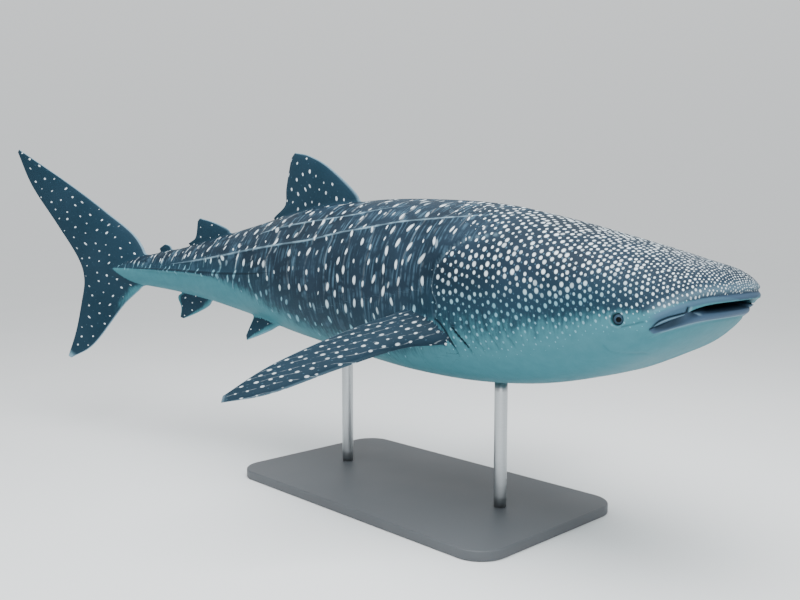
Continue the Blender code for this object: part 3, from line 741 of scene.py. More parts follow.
def fin_mesh(name, outline, thickness, rows, columns, cell, dot, own_looks, place, number):
    """One fin, closed at both ends: masks from its own looks, and spots on a gently warped grid of cells."""
    points, coordinates = fin_surface(outline, thickness, place, rows, columns)
    a, b, share, _, sign, _ = coordinates
    flat = 0.0 * a
    u = a / cell[0] + 37.3 * number
    v = b / cell[1] + 11.7 * sign
    looks = {part: flat for part in ("belly", "pale", "dark", "spot", "lip", "mouth", "streak")}
    looks.update({part: flat + FAR for part in ("ridge", "keel", "slit")})
    looks["low"] = flat - 1.0
    looks["dot"] = flat + 1.0
    looks["dots"] = np.stack([u + 0.3 * np.sin(1.7 * v), v + 0.3 * np.sin(1.3 * u + 1.0)], -1)
    looks["bands"] = looks["dots"]
    looks.update(own_looks(*coordinates))
    looks["dot"] = dot * looks["dot"]
    left, low, wide, tall = BAKE_ROOM[number]
    count = points.shape[1] - 1
    turn = (np.arange(count + 1) / count)[None, :] + flat
    looks["bake"] = np.stack([left + wide * share, low + tall * turn], -1)
    return mesh_from_grid(name, points, looks)


def united(body, others):
    """One closed skin from the body and the fins, by a union of solids."""
    collection = bpy.context.scene.collection
    base = bpy.data.objects.new("whole", body)
    collection.objects.link(base)
    made = [base]
    for mesh in others:
        fin = bpy.data.objects.new(mesh.name, mesh)
        collection.objects.link(fin)
        made.append(fin)
        change = base.modifiers.new("Union with " + mesh.name, "BOOLEAN")
        change.operation = "UNION"
        change.object = fin
        change.solver = "MANIFOLD"
    view = bpy.context.evaluated_depsgraph_get()
    mesh = bpy.data.meshes.new_from_object(base.evaluated_get(view), depsgraph=view)
    for obj in made:
        bpy.data.objects.remove(obj)
    return mesh


def soften_joins(mesh, rounds, reach):
    """Rounds off the joins of body and fins: points near them move to the mean of their neighbours."""
    count = len(mesh.vertices)
    points = read(mesh.vertices, "co", 3)
    first, second = read(mesh.edges, "vertices", 2, np.int32).T
    owners = read(mesh.loops, "vertex_index", 1, np.int32)[:, 0]
    fin = (read(mesh.attributes["inside"].data, "vector", 3)[:, 1] < -0.5).astype(float)
    most = np.zeros(count)
    least = np.ones(count)
    np.maximum.at(most, owners, fin)
    np.minimum.at(least, owners, fin)
    near = ((most - least) > 0.5).astype(float)
    for _ in range(reach):
        spread = near.copy()
        np.maximum.at(spread, first, near[second] * SEAM_FADE)
        np.maximum.at(spread, second, near[first] * SEAM_FADE)
        near = spread
    near = step(SEAM_FADE ** reach, 1.0, near)[:, None]
    degree = np.bincount(first, minlength=count) + np.bincount(second, minlength=count)
    for _ in range(rounds):
        total = [np.bincount(first, points[second, k], count) + np.bincount(second, points[first, k], count)
                 for k in range(3)]
        points += 0.5 * near * (np.stack(total, -1) / degree[:, None] - points)
    mesh.vertices.foreach_set("co", points.astype(np.float32).ravel())
    mesh.update()


def node(tree, kind, sockets=None, **settings):
    """Adds a shader node with its settings; each socket gets a value, a socket or a node's first output."""
    made = tree.nodes.new("ShaderNode" + kind)
    for key, value in settings.items():
        setattr(made, key, value)
    for key, value in (sockets or {}).items():
        socket = made.inputs[key]
        if isinstance(value, bpy.types.Node):
            tree.links.new(value.outputs[0], socket)
        elif isinstance(value, bpy.types.NodeSocket):
            tree.links.new(value, socket)
        else:
            socket.default_value = value
    return made


def new_material(name):
    """A node material with its shader."""
    made = bpy.data.materials.new(name)
    made.use_nodes = True
    return made, made.node_tree, made.node_tree.nodes["Principled BSDF"]


def lattice(tree, coordinates, offset, chance, jitter, radii, size, spread):
    """Spots on a grid of columns, one in each cell: returns their cover and each spot's own lightness.

    Column n is shifted by offset * n and by its own chance; each spot is moved within its cell by the
    jitter, and its radius is size times spread[0] + spread[1] * chance, in cells times the radii.
    """
    parts = node(tree, "SeparateXYZ", {0: coordinates})
    column = node(tree, "Math", {0: parts.outputs[0]}, operation="FLOOR")
    luck = node(tree, "TexWhiteNoise", {"W": column}, noise_dimensions="1D")
    down = node(tree, "Math", {0: column, 1: offset, 2: parts.outputs[1]}, operation="MULTIPLY_ADD")
    down = node(tree, "Math", {0: luck.outputs["Value"], 1: chance, 2: down}, operation="MULTIPLY_ADD")
    row = node(tree, "Math", {0: down}, operation="FLOOR")
    cell = node(tree, "CombineXYZ", {0: column, 1: row})
    luck = node(tree, "TexWhiteNoise", {"Vector": cell}, noise_dimensions="2D")
    luck_parts = node(tree, "SeparateXYZ", {0: luck.outputs["Color"]})
    moved = []
    for whole, part, place in ((parts.outputs[0], 0, radii[0]), (down, 1, radii[1])):
        share = node(tree, "Math", {0: whole}, operation="FRACT")
        shift = node(tree, "Math", {0: luck_parts.outputs[part], 1: jitter, 2: -0.5 - jitter / 2},
                     operation="MULTIPLY_ADD")
        share = node(tree, "Math", {0: share, 1: shift}, operation="ADD")
        moved.append(node(tree, "Math", {0: share, 1: place}, operation="DIVIDE"))
    away = node(tree, "CombineXYZ", {0: moved[0], 1: moved[1]})
    away = node(tree, "VectorMath", {0: away}, operation="LENGTH")
    reach = node(tree, "Math", {0: luck_parts.outputs[2], 1: spread[1], 2: spread[0]},
                 operation="MULTIPLY_ADD")
    reach = node(tree, "Math", {0: reach, 1: size}, operation="MULTIPLY")
    reach = node(tree, "Math", {0: reach, 1: 0.0001}, operation="ADD")
    ratio = node(tree, "Math", {0: away.outputs["Value"], 1: reach}, operation="DIVIDE")
    cover = node(tree, "MapRange", {"Value": ratio, "From Min": 1.35, "From Max": 0.65},
                 interpolation_type="SMOOTHSTEP")
    light = node(tree, "MapRange", {"Value": luck.outputs["Value"], "From Max": 0.5, "To Min": 0.6})
    return cover, light


def skin_material(colours):
    """Painted satin skin of a display model: slate back, pale belly and white spots, from masks and noise."""
    made, tree, shader = new_material("painted_satin_skin")
    tone, marks, inside, lines = [
        node(tree, "SeparateXYZ", {0: node(tree, "Attribute", attribute_name=name).outputs["Vector"]}).outputs
        for name in ("tone", "print", "inside", "lines")]
    where = node(tree, "TexCoord").outputs["Object"]
    cloud = node(tree, "TexNoise", {"Vector": where, "Scale": CLOUDS, "Detail": 5.0})
    cloud = node(tree, "MapRange", {"Value": cloud, "From Min": 0.35, "From Max": 0.68})
    mottle = node(tree, "TexNoise", {"Vector": where, "Scale": MOTTLE, "Detail": 4.0, "Roughness": 0.65})

    # Spots of the head and fins, with fainter small ones between them
    dots = node(tree, "UVMap", uv_map="dots")
    dot, dot_light = lattice(tree, dots, 0.5, 0.15, 0.36, (1.0, 1.0), marks[0], (0.56, 0.62))
    between = node(tree, "VectorMath", {0: dots, 1: (0.5, 0.27, 0.0)}, operation="ADD")
    small_radius = node(tree, "Math", {0: marks[0], 1: 0.40}, operation="MULTIPLY")
    small_dot, _ = lattice(tree, between, 0.5, 0.35, 0.40, (1.0, 1.0), small_radius, (0.40, 0.90))

    # Columns of spots on the trunk, with fainter spots between them
    bands = node(tree, "UVMap", uv_map="bands")
    drift = node(tree, "TexNoise", {"Vector": bands, "Scale": 0.5, "Detail": 1.0}, noise_dimensions="2D")
    drift = node(tree, "Math", {0: drift, 1: 0.6, 2: -0.30}, operation="MULTIPLY_ADD")
    drift = node(tree, "CombineXYZ", {0: drift})
    wavy = node(tree, "VectorMath", {0: bands, 1: drift}, operation="ADD")
    spot, spot_light = lattice(tree, wavy, 0.45, 0.45, 0.30, (0.072, 0.240), marks[1], (0.50, 0.50))
    halfway = node(tree, "VectorMath", {0: wavy, 1: (0.5, 0.4, 0.0)}, operation="ADD")
    small_spot, small_light = lattice(tree, halfway, 0.3, 0.9, 0.45, (0.055, 0.190), marks[1], (0.42, 0.78))
    small_light = node(tree, "MapRange",
                       {"Value": small_light, "From Min": 0.6, "To Min": 0.15, "To Max": 0.95})

    # Thin streaks down the middle of the columns, in patches, and hair lines beside them
    patchy = node(tree, "TexNoise", {"Vector": bands, "Scale": 1.7, "Detail": 2.0}, noise_dimensions="2D")
    patchy = node(tree, "MapRange", {"Value": patchy, "From Min": 0.40, "From Max": 0.60})
    column = node(tree, "SeparateXYZ", {0: wavy})
    column = node(tree, "Math", {0: column}, operation="FRACT")
    column = node(tree, "Math", {0: column, 1: 0.5}, operation="SUBTRACT")
    column = node(tree, "Math", {0: column}, operation="ABSOLUTE")
    streak = node(tree, "MapRange", {"Value": column, "From Min": 0.060, "From Max": 0.0},
                  interpolation_type="SMOOTHSTEP")
    stretch = node(tree, "VectorMath", {0: bands, 1: (9.5, 0.50, 1.0)}, operation="MULTIPLY")
    hair = node(tree, "TexNoise", {"Vector": stretch, "Scale": 1.0, "Detail": 3.0}, noise_dimensions="2D")
    hair = node(tree, "MapRange", {"Value": hair, "From Min": 0.48, "From Max": 0.72})
    for share in (patchy, inside[2]):
        streak = node(tree, "Math", {0: streak, 1: share}, operation="MULTIPLY")
    for share in (patchy, marks[1], 0.60):
        hair = node(tree, "Math", {0: hair, 1: share}, operation="MULTIPLY")

    # The belly's ragged edge: its soft mask is pushed to and fro by noise where it is between 0 and 1
    stretch = node(tree, "VectorMath", {0: bands, 1: (9.0, 1.3, 1.0)}, operation="MULTIPLY")
    fringe = node(tree, "TexNoise", {"Vector": stretch, "Scale": 1.0, "Detail": 2.0}, noise_dimensions="2D")
    fringe = node(tree, "Math", {0: fringe, 1: mottle}, operation="ADD")
    fringe = node(tree, "Math", {0: fringe, 1: 1.7, 2: -1.7}, operation="MULTIPLY_ADD")
    rest = node(tree, "Math", {0: 1.0, 1: tone[0]}, operation="SUBTRACT")
    for share in (tone[0], fringe):
        rest = node(tree, "Math", {0: rest, 1: share}, operation="MULTIPLY")
    belly = node(tree, "Math", {0: rest, 1: 1.5, 2: tone[0]}, operation="MULTIPLY_ADD")
    belly = node(tree, "MapRange", {"Value": belly, "From Min": 0.10, "From Max": 0.90},
                 interpolation_type="SMOOTHSTEP")

    # Cover of the white spots, of the pale edges with painted highlights along the ridges, and of the dark
    # keel with painted shade in the slits and folds
    white = streak
    for shape, lightness in ((dot, dot_light), (spot, spot_light), (small_spot, small_light)):
        shape = node(tree, "Math", {0: shape, 1: lightness}, operation="MULTIPLY")
        white = node(tree, "Math", {0: white, 1: shape}, operation="MAXIMUM")
    faint = node(tree, "Math", {0: small_dot, 1: small_spot}, operation="MAXIMUM")
    faint = node(tree, "Math", {0: faint, 1: 0.55}, operation="MULTIPLY")
    # Painted highlights along the flank ridges, brighter in patches
    ridge = node(tree, "Math", {0: lines[0]}, operation="ABSOLUTE")
    ridge = node(tree, "MapRange", {"Value": ridge, "From Min": 1.4, "From Max": 0.2},
                 interpolation_type="SMOOTHSTEP")
    shine = node(tree, "MapRange", {"Value": patchy, "To Min": 0.28, "To Max": 0.68})
    ridge = node(tree, "Math", {0: ridge, 1: shine}, operation="MULTIPLY")
    pale = node(tree, "Math", {0: tone[1], 1: ridge}, operation="MAXIMUM")
    dark = tone[2]
    for distance, aside, far, near, depth in ((lines[1], 0.9, 1.1, 0.4, 0.75),
                                              (lines[2], 0.0, 1.2, 0.7, 0.95)):
        away = node(tree, "Math", {0: distance, 1: aside}, operation="ADD")
        away = node(tree, "Math", {0: away}, operation="ABSOLUTE")
        away = node(tree, "MapRange", {"Value": away, "From Min": far, "From Max": near, "To Max": depth},
                    interpolation_type="SMOOTHSTEP")
        dark = node(tree, "Math", {0: dark, 1: away}, operation="MAXIMUM")
    # Painted shade of the lower flank: the ground is tinted more teal there; on the fins the same tint gives
    # their teal ground
    low = node(tree, "Math", {0: inside[1], 1: belly}, operation="MAXIMUM")
    sunk = node(tree, "Math", {0: inside[1]}, operation="ABSOLUTE")
    sunk = node(tree, "Math", {0: sunk, 1: 0.5}, operation="MULTIPLY")

    # Paint in layers, each laid over those before it
    under = node(tree, "Mix", {"Factor": mottle, 6: rgba(colours.belly_shade), 7: rgba(colours.belly)},
                 data_type="RGBA").outputs[2]
    # Spots painted duller and bluer on the lower flank and belly, as painted shade
    light = node(tree, "Mix", {"Factor": low, 6: rgba(colours.spot), 7: rgba(colours.shaded_low_spot)},
                 data_type="RGBA").outputs[2]
    paint = rgba(colours.back_dark)
    for cover, tint in ((cloud, rgba(colours.back)), (hair, rgba(colours.spot_faint)),
                        (faint, rgba(colours.spot_faint)), (sunk, rgba(colours.flank)), (belly, under),
                        (marks[2], rgba(colours.lip)), (white, light), (pale, rgba(colours.edge)),
                        (dark, rgba(colours.fold)), (inside[0], rgba(colours.mouth))):
        paint = node(tree, "Mix", {"Factor": cover, 6: paint, 7: tint}, data_type="RGBA").outputs[2]
    tree.links.new(paint, shader.inputs["Base Color"])

    # Satin finish with a fine grain of scales and soft creases
    grain = node(tree, "TexNoise", {"Vector": where, "Scale": GRAIN, "Detail": 2.0})
    creases = node(tree, "TexNoise", {"Vector": where, "Scale": CREASES, "Detail": 4.0})
    relief = node(tree, "Math", {0: creases, 1: 1.6, 2: grain}, operation="MULTIPLY_ADD")
    bump = node(tree, "Bump", {"Height": relief, "Strength": 0.16, "Distance": 0.004})
    tree.links.new(bump.outputs[0], shader.inputs["Normal"])
    rough = node(tree, "MapRange", {"Value": cloud, "To Min": 0.48, "To Max": 0.62})
    tree.links.new(rough.outputs[0], shader.inputs["Roughness"])
    shader.inputs["Specular IOR Level"].default_value = 0.08
    return made


def eye_surface(centre, mirror):
    """An eyeball: a sphere about the outward axis, its cornea raised by a bell curve of the polar angle."""
    polar = np.linspace(0.0, np.pi, 50)[1:-1, None]
    turn = np.linspace(0.0, 2 * np.pi, 97)[None, :]
    radius = EYE_RADIUS * (1.0 + CORNEA_RISE * bell(polar, 0.0, CORNEA_WIDTH))
    out = radius * np.cos(polar) + 0.0 * turn
    ahead = radius * np.sin(polar) * np.cos(turn)
    points = centre + np.stack([ahead * np.cos(EYE_TURN) + out * np.sin(EYE_TURN),
                                mirror * (out * np.cos(EYE_TURN) - ahead * np.sin(EYE_TURN)),
                                radius * np.sin(polar) * np.sin(turn)], -1)
    flat = np.stack([0.5 + 0.5 * polar / np.pi * np.cos(turn), 0.5 + 0.5 * polar / np.pi * np.sin(turn)], -1)
    return points, flat


def eye_material(colours):
    """Wet glass eye: black pupil, grey iris with fine spokes, dark rim."""
    made, tree, shader = new_material("wet_glass_eye")
    flat = node(tree, "UVMap", uv_map="iris")
    centred = node(tree, "VectorMath", {0: flat, 1: (0.5, 0.5, 0.0)}, operation="SUBTRACT")
    out = node(tree, "VectorMath", {0: centred}, operation="LENGTH")
    unit = node(tree, "VectorMath", {0: centred}, operation="NORMALIZE")
    spokes = node(tree, "TexNoise", {"Vector": unit, "Scale": 9.0, "Detail": 4.0})
    iris = node(tree, "Mix", {"Factor": spokes, 6: rgba(colours.iris_dark), 7: rgba(colours.iris)},
                data_type="RGBA")
    pupil = node(tree, "MapRange", {"Value": out.outputs["Value"], "From Min": 0.074, "From Max": 0.064},
                 interpolation_type="SMOOTHSTEP")
    rim = node(tree, "MapRange", {"Value": out.outputs["Value"], "From Min": 0.156, "From Max": 0.172},
               interpolation_type="SMOOTHSTEP")
    black = node(tree, "Math", {0: pupil, 1: rim}, operation="MAXIMUM")
    paint = node(tree, "Mix", {"Factor": black, 6: iris.outputs[2], 7: rgba(colours.pupil)},
                 data_type="RGBA")
    tree.links.new(paint.outputs[2], shader.inputs["Base Color"])
    shader.inputs["Roughness"].default_value = 0.38
    shader.inputs["Specular IOR Level"].default_value = 0.05
    shader.inputs["Coat Weight"].default_value = 0.04
    shader.inputs["Coat Roughness"].default_value = 0.06
    return made


def base_profile(edge):
    """The base's rim from its underside to its top, as insets and heights, with rounded edges."""
    turn = np.linspace(0.0, np.pi / 2, 7)
    thick = BASE_SIZE[2]
    low = np.stack([edge * (1 - np.sin(turn)), edge * (1 - np.cos(turn))], -1)
    high = np.stack([edge * (1 - np.cos(turn)), thick - edge * (1 - np.sin(turn))], -1)
    rows = np.concatenate([[[0.12, 0.0], [1.2 * edge, 0.0]], low, high, [[1.2 * edge, thick], [0.12, thick]]])
    return rows[:, 0], rows[:, 1]


def base_surface(edge):
    """The base: a rectangle with round corners, drawn in at each height by the inset of its rim's profile."""
    long, wide, _ = BASE_SIZE
    inset, height = base_profile(edge)
    turn = np.linspace(0.0, 2 * np.pi, 161)[None, :] + np.pi / 160
    corner = BASE_CORNER - inset[:, None]
    x = np.sign(np.cos(turn)) * (long / 2 - BASE_CORNER) + corner * np.cos(turn)
    y = np.sign(np.sin(turn)) * (wide / 2 - BASE_CORNER) + corner * np.sin(turn)
    return np.stack([x, y, height[:, None] + 0.0 * x], -1)


def rod_surface(place, edge):
    """A rod: circles up from the base, chamfered at the foot; its top is curved only across the belly."""
    x, y, _ = placed(np.array(place), np.array(0.0), np.array(0.0))
    turn = np.linspace(0.0, 2 * np.pi, 65)[None, :]
    foot = BASE_SIZE[2] + CLEARANCE
    below = AXIS_HEIGHT - TOTAL_LENGTH * along(place, BELLY)
    share = np.linspace(0.0, 1.0, 12)[:, None]
    radius = ROD_RADIUS - edge * step(0.02, 0.0, share)
    around = (ROD_RADIUS * np.sin(turn) / (along(place, HALF_WIDTH) * TOTAL_LENGTH)) ** 2
    top = below + 0.2 * TOTAL_LENGTH * along(place, BELLY) * around - ROD_GAP
    z = foot + (top - foot) * share
    return np.stack([x + radius * np.cos(turn), y + radius * np.sin(turn), z], -1)


def coated_base_material(colours):
    """Powder-coated board: dark grey with a fine pebbled grain and faint handling marks."""
    made, tree, shader = new_material("powder_coat_grey")
    where = node(tree, "TexCoord").outputs["Object"]
    cloud = node(tree, "TexNoise", {"Vector": where, "Scale": 3.0, "Detail": 6.0})
    paint = node(tree, "Mix", {"Factor": cloud, 6: rgba(colours.base_dark), 7: rgba(colours.base)},
                 data_type="RGBA")
    tree.links.new(paint.outputs[2], shader.inputs["Base Color"])
    rough = node(tree, "MapRange", {"Value": cloud, "To Min": 0.42, "To Max": 0.60})
    tree.links.new(rough.outputs[0], shader.inputs["Roughness"])
    pebble = node(tree, "TexNoise", {"Vector": where, "Scale": PEBBLES, "Detail": 2.0})
    bump = node(tree, "Bump", {"Height": pebble, "Strength": 0.18, "Distance": 0.002})
    tree.links.new(bump.outputs[0], shader.inputs["Normal"])
    return made


def brushed_rod_material(colours):
    """Brushed stainless steel: fine level scratches that vary the gloss."""
    made, tree, shader = new_material("brushed_steel")
    where = node(tree, "TexCoord").outputs["Object"]
    stretch = node(tree, "VectorMath", {0: where, 1: (6.0, 6.0, BRUSH_LINES)}, operation="MULTIPLY")
    brush = node(tree, "TexNoise", {"Vector": stretch, "Scale": 1.0, "Detail": 3.0})
    paint = node(tree, "Mix", {"Factor": brush, 6: rgba(colours.steel_dark), 7: rgba(colours.steel)},
                 data_type="RGBA")
    tree.links.new(paint.outputs[2], shader.inputs["Base Color"])
    rough = node(tree, "MapRange", {"Value": brush, "To Min": 0.26, "To Max": 0.42})
    tree.links.new(rough.outputs[0], shader.inputs["Roughness"])
    shader.inputs["Metallic"].default_value = 1.0
    return made


def floor_material(colours):
    """Matt pale studio floor with a barely visible unevenness."""
    made, tree, shader = new_material("matt_studio_floor")
    where = node(tree, "TexCoord").outputs["Object"]
    cloud = node(tree, "TexNoise", {"Vector": where, "Scale": 0.6, "Detail": 3.0})
    paint = node(tree, "Mix", {"Factor": cloud, 6: rgba(colours.floor_shade), 7: rgba(colours.floor)},
                 data_type="RGBA")
    tree.links.new(paint.outputs[2], shader.inputs["Base Color"])
    shader.inputs["Roughness"].default_value = 0.85
    return made


def shown(name, mesh, material):
    """Makes an object of a mesh, smooth all over."""
    mesh.name = name
    mesh.materials.clear()
    mesh.materials.append(material)
    mesh.shade_smooth()
    obj = bpy.data.objects.new(name, mesh)
    bpy.context.scene.collection.objects.link(obj)
    return obj


def colour(name, description, code):
    """A colour setting."""
    return FloatVectorProperty(name=name, description=description, subtype="COLOR", size=3, min=0.0, max=1.0,
                               default=linear(code))


class SharkShape(bpy.types.PropertyGroup):
    """Sizes of the skin's relief and of the stand."""
    mouth_depth: FloatProperty(name="Mouth depth", description="How far the mouth is hollowed, as a share of "
                               "the length", default=0.022, min=0.0, max=0.04)
    ridge_height: FloatProperty(name="Ridge height", description="Height of the ridges along the flanks",
                                default=0.009, min=0.0, max=0.03, subtype="DISTANCE", unit="LENGTH")
    join_rounds: IntProperty(name="Join softening", description="How often the fins' roots are smoothed",
                             default=14, min=0, max=60)
    base_edge: FloatProperty(name="Base edge", description="Rounding of the base's edges", default=0.008,
                             min=0.001, max=0.02, subtype="DISTANCE", unit="LENGTH")
    rod_edge: FloatProperty(name="Rod edge", description="Chamfer at the foot of the rods", default=0.002,
                            min=0.0, max=0.01, subtype="DISTANCE", unit="LENGTH")


class SharkColours(bpy.types.PropertyGroup):
    """Colours of the skin, eyes, stand and floor."""
    back: colour("Back", "Slate of the back", "#223240")
    back_dark: colour("Dark back", "Darker slate between the clouds of the back", "#14232f")
    # Partly painted shade of the lower flank above the belly, partly the fins' teal ground
    flank: colour("Low flank", "Blue slate of the flank above the belly", "#1d3c4b")
    belly: colour("Belly", "Pale sea green of the belly", "#4b808a")
    belly_shade: colour("Belly shade", "Deeper patches of the belly", "#3a6d78")
    spot: colour("Spots", "White of the spots", "#e0ecf2")
    spot_faint: colour("Faint spots", "Blue grey of the small spots and hair streaks", "#56768a")
    # Painted shade: spots duller where the flank turns into the belly
    shaded_low_spot: colour("Low spots", "Spots where the flank turns into the belly", "#71a3b2")
    lip: colour("Lips", "Grey violet of the lips", "#445a70")
    # Pale edges and marks, and painted highlights along the flank ridges, the crease's rim and the lower
    # lip's border
    edge: colour("Edges", "Pale edges of ridges and fins", "#86a5b6")
    fold: colour("Folds", "Shade painted in folds and slits", "#0f202b")
    # Painted shade: the mouth's hollow is painted blue black
    mouth: colour("Mouth", "Blue black of the mouth's inside", "#0b2331")
    iris: colour("Iris", "Grey of the iris", "#3b5263")
    iris_dark: colour("Dark iris", "Spokes of the iris", "#1d2d39")
    pupil: colour("Pupil", "Black of the pupil and the eye's rim", "#050809")
    base: colour("Base", "Powder coat of the base", "#54585c")
    base_dark: colour("Dark base", "Darker clouds of the powder coat", "#484b4f")
    steel: colour("Steel", "Brushed steel of the rods", "#c3c7c9")
    steel_dark: colour("Dark steel", "Scratches of the brushed steel", "#a2a6a9")
    floor: colour("Floor", "Pale studio floor", "#eceeee")
    floor_shade: colour("Floor shade", "Clouds of the studio floor", "#e6e9ea")


class SharkStage(bpy.types.PropertyGroup):
    """Camera, light and floor."""
    lens: FloatProperty(name="Lens", description="Focal length", default=CAMERA_LENS, min=10.0, max=200.0,
                        subtype="DISTANCE_CAMERA", unit="CAMERA")
    key_power: FloatProperty(name="Key light", description="Power of the soft light overhead", default=800.0,
                             min=0.0, max=10000.0, subtype="POWER", unit="POWER")
    fill_power: FloatProperty(name="Fill light", description="Power of the soft light beside the camera",
                              default=110.0, min=0.0, max=10000.0, subtype="POWER", unit="POWER")
    world_light: FloatProperty(name="Room light", description="Strength of the pale room", default=1.05,
                               min=0.0, max=5.0)


FLESH = ("head", "lower_jaw", "trunk", "tail_stalk", "caudal_fin_upper", "caudal_fin_lower",
         "dorsal_fin_first", "dorsal_fin_second", "dorsal_finlet", "anal_fin", "pectoral_fin_right",
         "pectoral_fin_left", "pelvic_fin_right", "pelvic_fin_left")


class WHALESHARK_OT_skin(bpy.types.Operator):
    """Builds the one skin over body, head and fins."""
    bl_idname = "whaleshark.skin"
    bl_label = "Skin"

    def execute(self, context):
        """Makes the body and the fins, unites them and softens their joins."""
        sizes = context.scene.shark_shape
        body = skin_body_mesh(sizes)
        mesh = united(body, fins_meshes())
        if len(mesh.polygons) < len(body.polygons):
            raise RuntimeError("the union of body and fins failed")
        soften_joins(mesh, sizes.join_rounds, SEAM_REACH)
        skin = shown("skin", mesh, skin_material(context.scene.shark_colours))
        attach(skin, "root")
        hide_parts(*FLESH)
        return {"FINISHED"}


class WHALESHARK_OT_eyes(bpy.types.Operator):
    """Builds the two eyeballs in their sockets."""
    bl_idname = "whaleshark.eyes"
    bl_label = "Eyes"

    def execute(self, context):
        """Makes each eyeball where the frame has it."""
        glass = eye_material(context.scene.shark_colours)
        for side, mirror in (("right", -1.0), ("left", 1.0)):
            centre = eye_centre(mirror)
            points, flat = eye_surface(centre, mirror)
            axis = EYE_RADIUS * np.array([np.sin(EYE_TURN), mirror * np.cos(EYE_TURN), 0.0])
            mesh = mesh_from_grid("eyeball", points,
                                  ends=(centre + (1.0 + CORNEA_RISE) * axis, centre - axis))
            corners = read(mesh.loops, "vertex_index", 1, np.int32)[:, 0]
            flat = np.concatenate([flat[:, :-1].reshape(-1, 2), [[0.5, 0.5], [1.0, 0.5]]])
            layer = mesh.uv_layers.new(name="iris")
            layer.uv.foreach_set("vector", flat[corners].astype(np.float32).ravel())
            eye = shown("eyeball_" + side, mesh, glass)
            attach(eye, "root")
            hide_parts("eye_" + side)
        return {"FINISHED"}


class WHALESHARK_OT_stand(bpy.types.Operator):
    """Builds the base and the two rods of the display stand."""
    bl_idname = "whaleshark.stand"
    bl_label = "Stand"

    def execute(self, context):
        """Makes the base with rounded edges, and a rod up to the belly at each place."""
        sizes = context.scene.shark_shape
        colours = context.scene.shark_colours
        points = base_surface(sizes.base_edge)
        mesh = mesh_from_grid("base", points, ends=((0.0, 0.0, 0.0), (0.0, 0.0, BASE_SIZE[2])))
        base = shown("display_base", mesh, coated_base_material(colours))
        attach(base, "root")
        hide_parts("stand_base")
        steel = brushed_rod_material(colours)
        for name, place in zip(("front", "rear"), ROD_PLACES):
            points = rod_surface(place, sizes.rod_edge)
            mesh = mesh_from_grid("rod", points, ends=middles(points))
            rod = shown("display_rod_" + name, mesh, steel)
            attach(rod, "root")
            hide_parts("stand_rod_" + name)
        return {"FINISHED"}


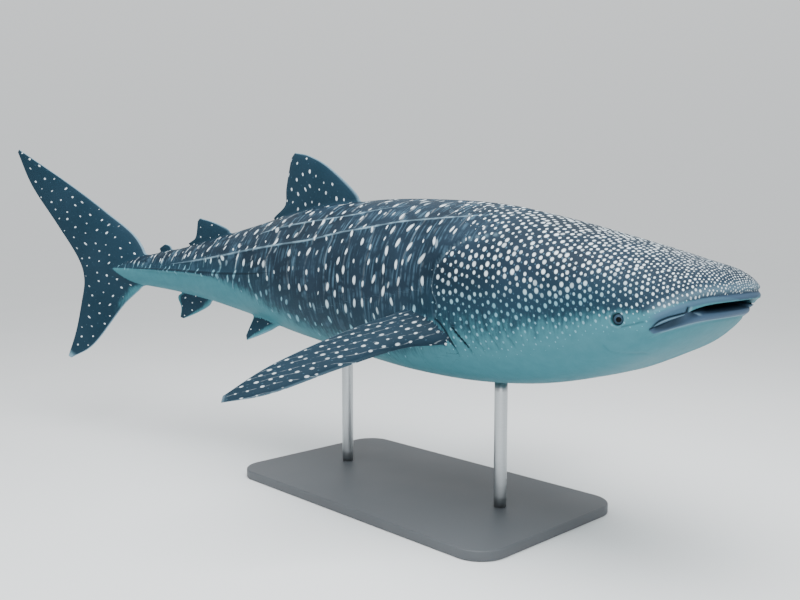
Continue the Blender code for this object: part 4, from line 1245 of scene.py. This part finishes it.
class WHALESHARK_OT_stage(bpy.types.Operator):
    """Sets the floor, the lights, the pale room and the camera."""
    bl_idname = "whaleshark.stage"
    bl_label = "Stage"

    def execute(self, context):
        """Builds a plain pale studio round the model."""
        scene = context.scene
        settings = scene.shark_stage
        side = np.linspace(-FLOOR_HALF, FLOOR_HALF, 9)
        x, y = np.meshgrid(side, side)
        points = np.stack([x, y, 0.0 * x - FLOOR_DROP], -1)
        index = np.arange(81).reshape(9, 9)
        faces = np.stack([index[:-1, :-1], index[:-1, 1:], index[1:, 1:], index[1:, :-1]], -1).reshape(-1, 4)
        mesh = bpy.data.meshes.new("floor")
        mesh.from_pydata(points.reshape(-1, 3).tolist(), [], faces.tolist())
        floor = shown("studio_floor", mesh, floor_material(scene.shark_colours))

        room = bpy.data.worlds.new("pale_room")
        room.use_nodes = True
        tree = room.node_tree
        backdrop = tree.nodes["Background"]
        direction = node(tree, "SeparateXYZ", {0: node(tree, "TexCoord").outputs["Generated"]})
        height = node(tree, "MapRange", {"Value": direction.outputs[2], "From Min": 0.0, "From Max": 0.55},
                      interpolation_type="SMOOTHSTEP")
        sweep = node(tree, "Mix", {"Factor": height, 6: rgba(linear("#e6eaec")), 7: rgba(linear("#fbfdfe"))},
                     data_type="RGBA")
        tree.links.new(sweep.outputs[2], backdrop.inputs["Color"])
        backdrop.inputs["Strength"].default_value = settings.world_light
        scene.world = room

        for name, place, size, power in (("key_light", (1.5, -1.0, 6.5), 7.0, settings.key_power),
                                         ("fill_light", (5.0, -5.5, 2.6), 4.0, settings.fill_power)):
            lamp = bpy.data.lights.new(name, "AREA")
            lamp.shape = "DISK"
            lamp.size = size
            lamp.energy = power
            lamp.color = linear("#fbfdff")
            obj = bpy.data.objects.new(name, lamp)
            obj.location = place
            away = np.array(place) - LIGHT_AIM
            obj.rotation_euler = (np.arctan2(np.hypot(away[0], away[1]), away[2]), 0.0,
                                  np.arctan2(away[0], -away[1]))
            scene.collection.objects.link(obj)

        lens = bpy.data.cameras.new("camera")
        lens.sensor_fit = "HORIZONTAL"
        lens.sensor_width = 36.0
        lens.lens = settings.lens
        lens.clip_end = 500.0
        camera = bpy.data.objects.new("camera", lens)
        camera.location = CAMERA_PLACE
        camera.rotation_euler = Euler((np.radians(90.0 - CAMERA_DOWN), 0.0, np.radians(CAMERA_ROUND)))
        scene.collection.objects.link(camera)
        scene.camera = camera
        return {"FINISHED"}


class WHALESHARK_PT_panel(bpy.types.Panel):
    """The model's steps and settings in the sidebar."""
    bl_label = "Whale Shark"
    bl_idname = "WHALESHARK_PT_panel"
    bl_space_type = "VIEW_3D"
    bl_region_type = "UI"
    bl_category = "Whale Shark"

    def draw(self, context):
        """Lists the operators, then the settings."""
        layout = self.layout
        for operator in (WHALESHARK_OT_skin, WHALESHARK_OT_eyes, WHALESHARK_OT_stand, WHALESHARK_OT_stage):
            layout.operator(operator.bl_idname)
        for group in (context.scene.shark_shape, context.scene.shark_colours, context.scene.shark_stage):
            box = layout.box()
            for name in group.bl_rna.properties.keys():
                if name not in ("rna_type", "name"):
                    box.prop(group, name)


CLASSES = (SharkShape, SharkColours, SharkStage, WHALESHARK_OT_skin, WHALESHARK_OT_eyes, WHALESHARK_OT_stand,
           WHALESHARK_OT_stage, WHALESHARK_PT_panel)


def register():
    """Registers the classes and hangs the settings on the scene."""
    for item in CLASSES:
        bpy.utils.register_class(item)
    bpy.types.Scene.shark_shape = PointerProperty(type=SharkShape)
    bpy.types.Scene.shark_colours = PointerProperty(type=SharkColours)
    bpy.types.Scene.shark_stage = PointerProperty(type=SharkStage)


def unregister():
    """Takes the settings and classes away again."""
    del bpy.types.Scene.shark_stage
    del bpy.types.Scene.shark_colours
    del bpy.types.Scene.shark_shape
    for item in reversed(CLASSES):
        bpy.utils.unregister_class(item)


def main():
    """Builds everything in order."""
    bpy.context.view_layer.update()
    register()
    bpy.ops.whaleshark.skin()
    bpy.ops.whaleshark.eyes()
    bpy.ops.whaleshark.stand()
    bpy.ops.whaleshark.stage()


if __name__ == "__main__":
    main()
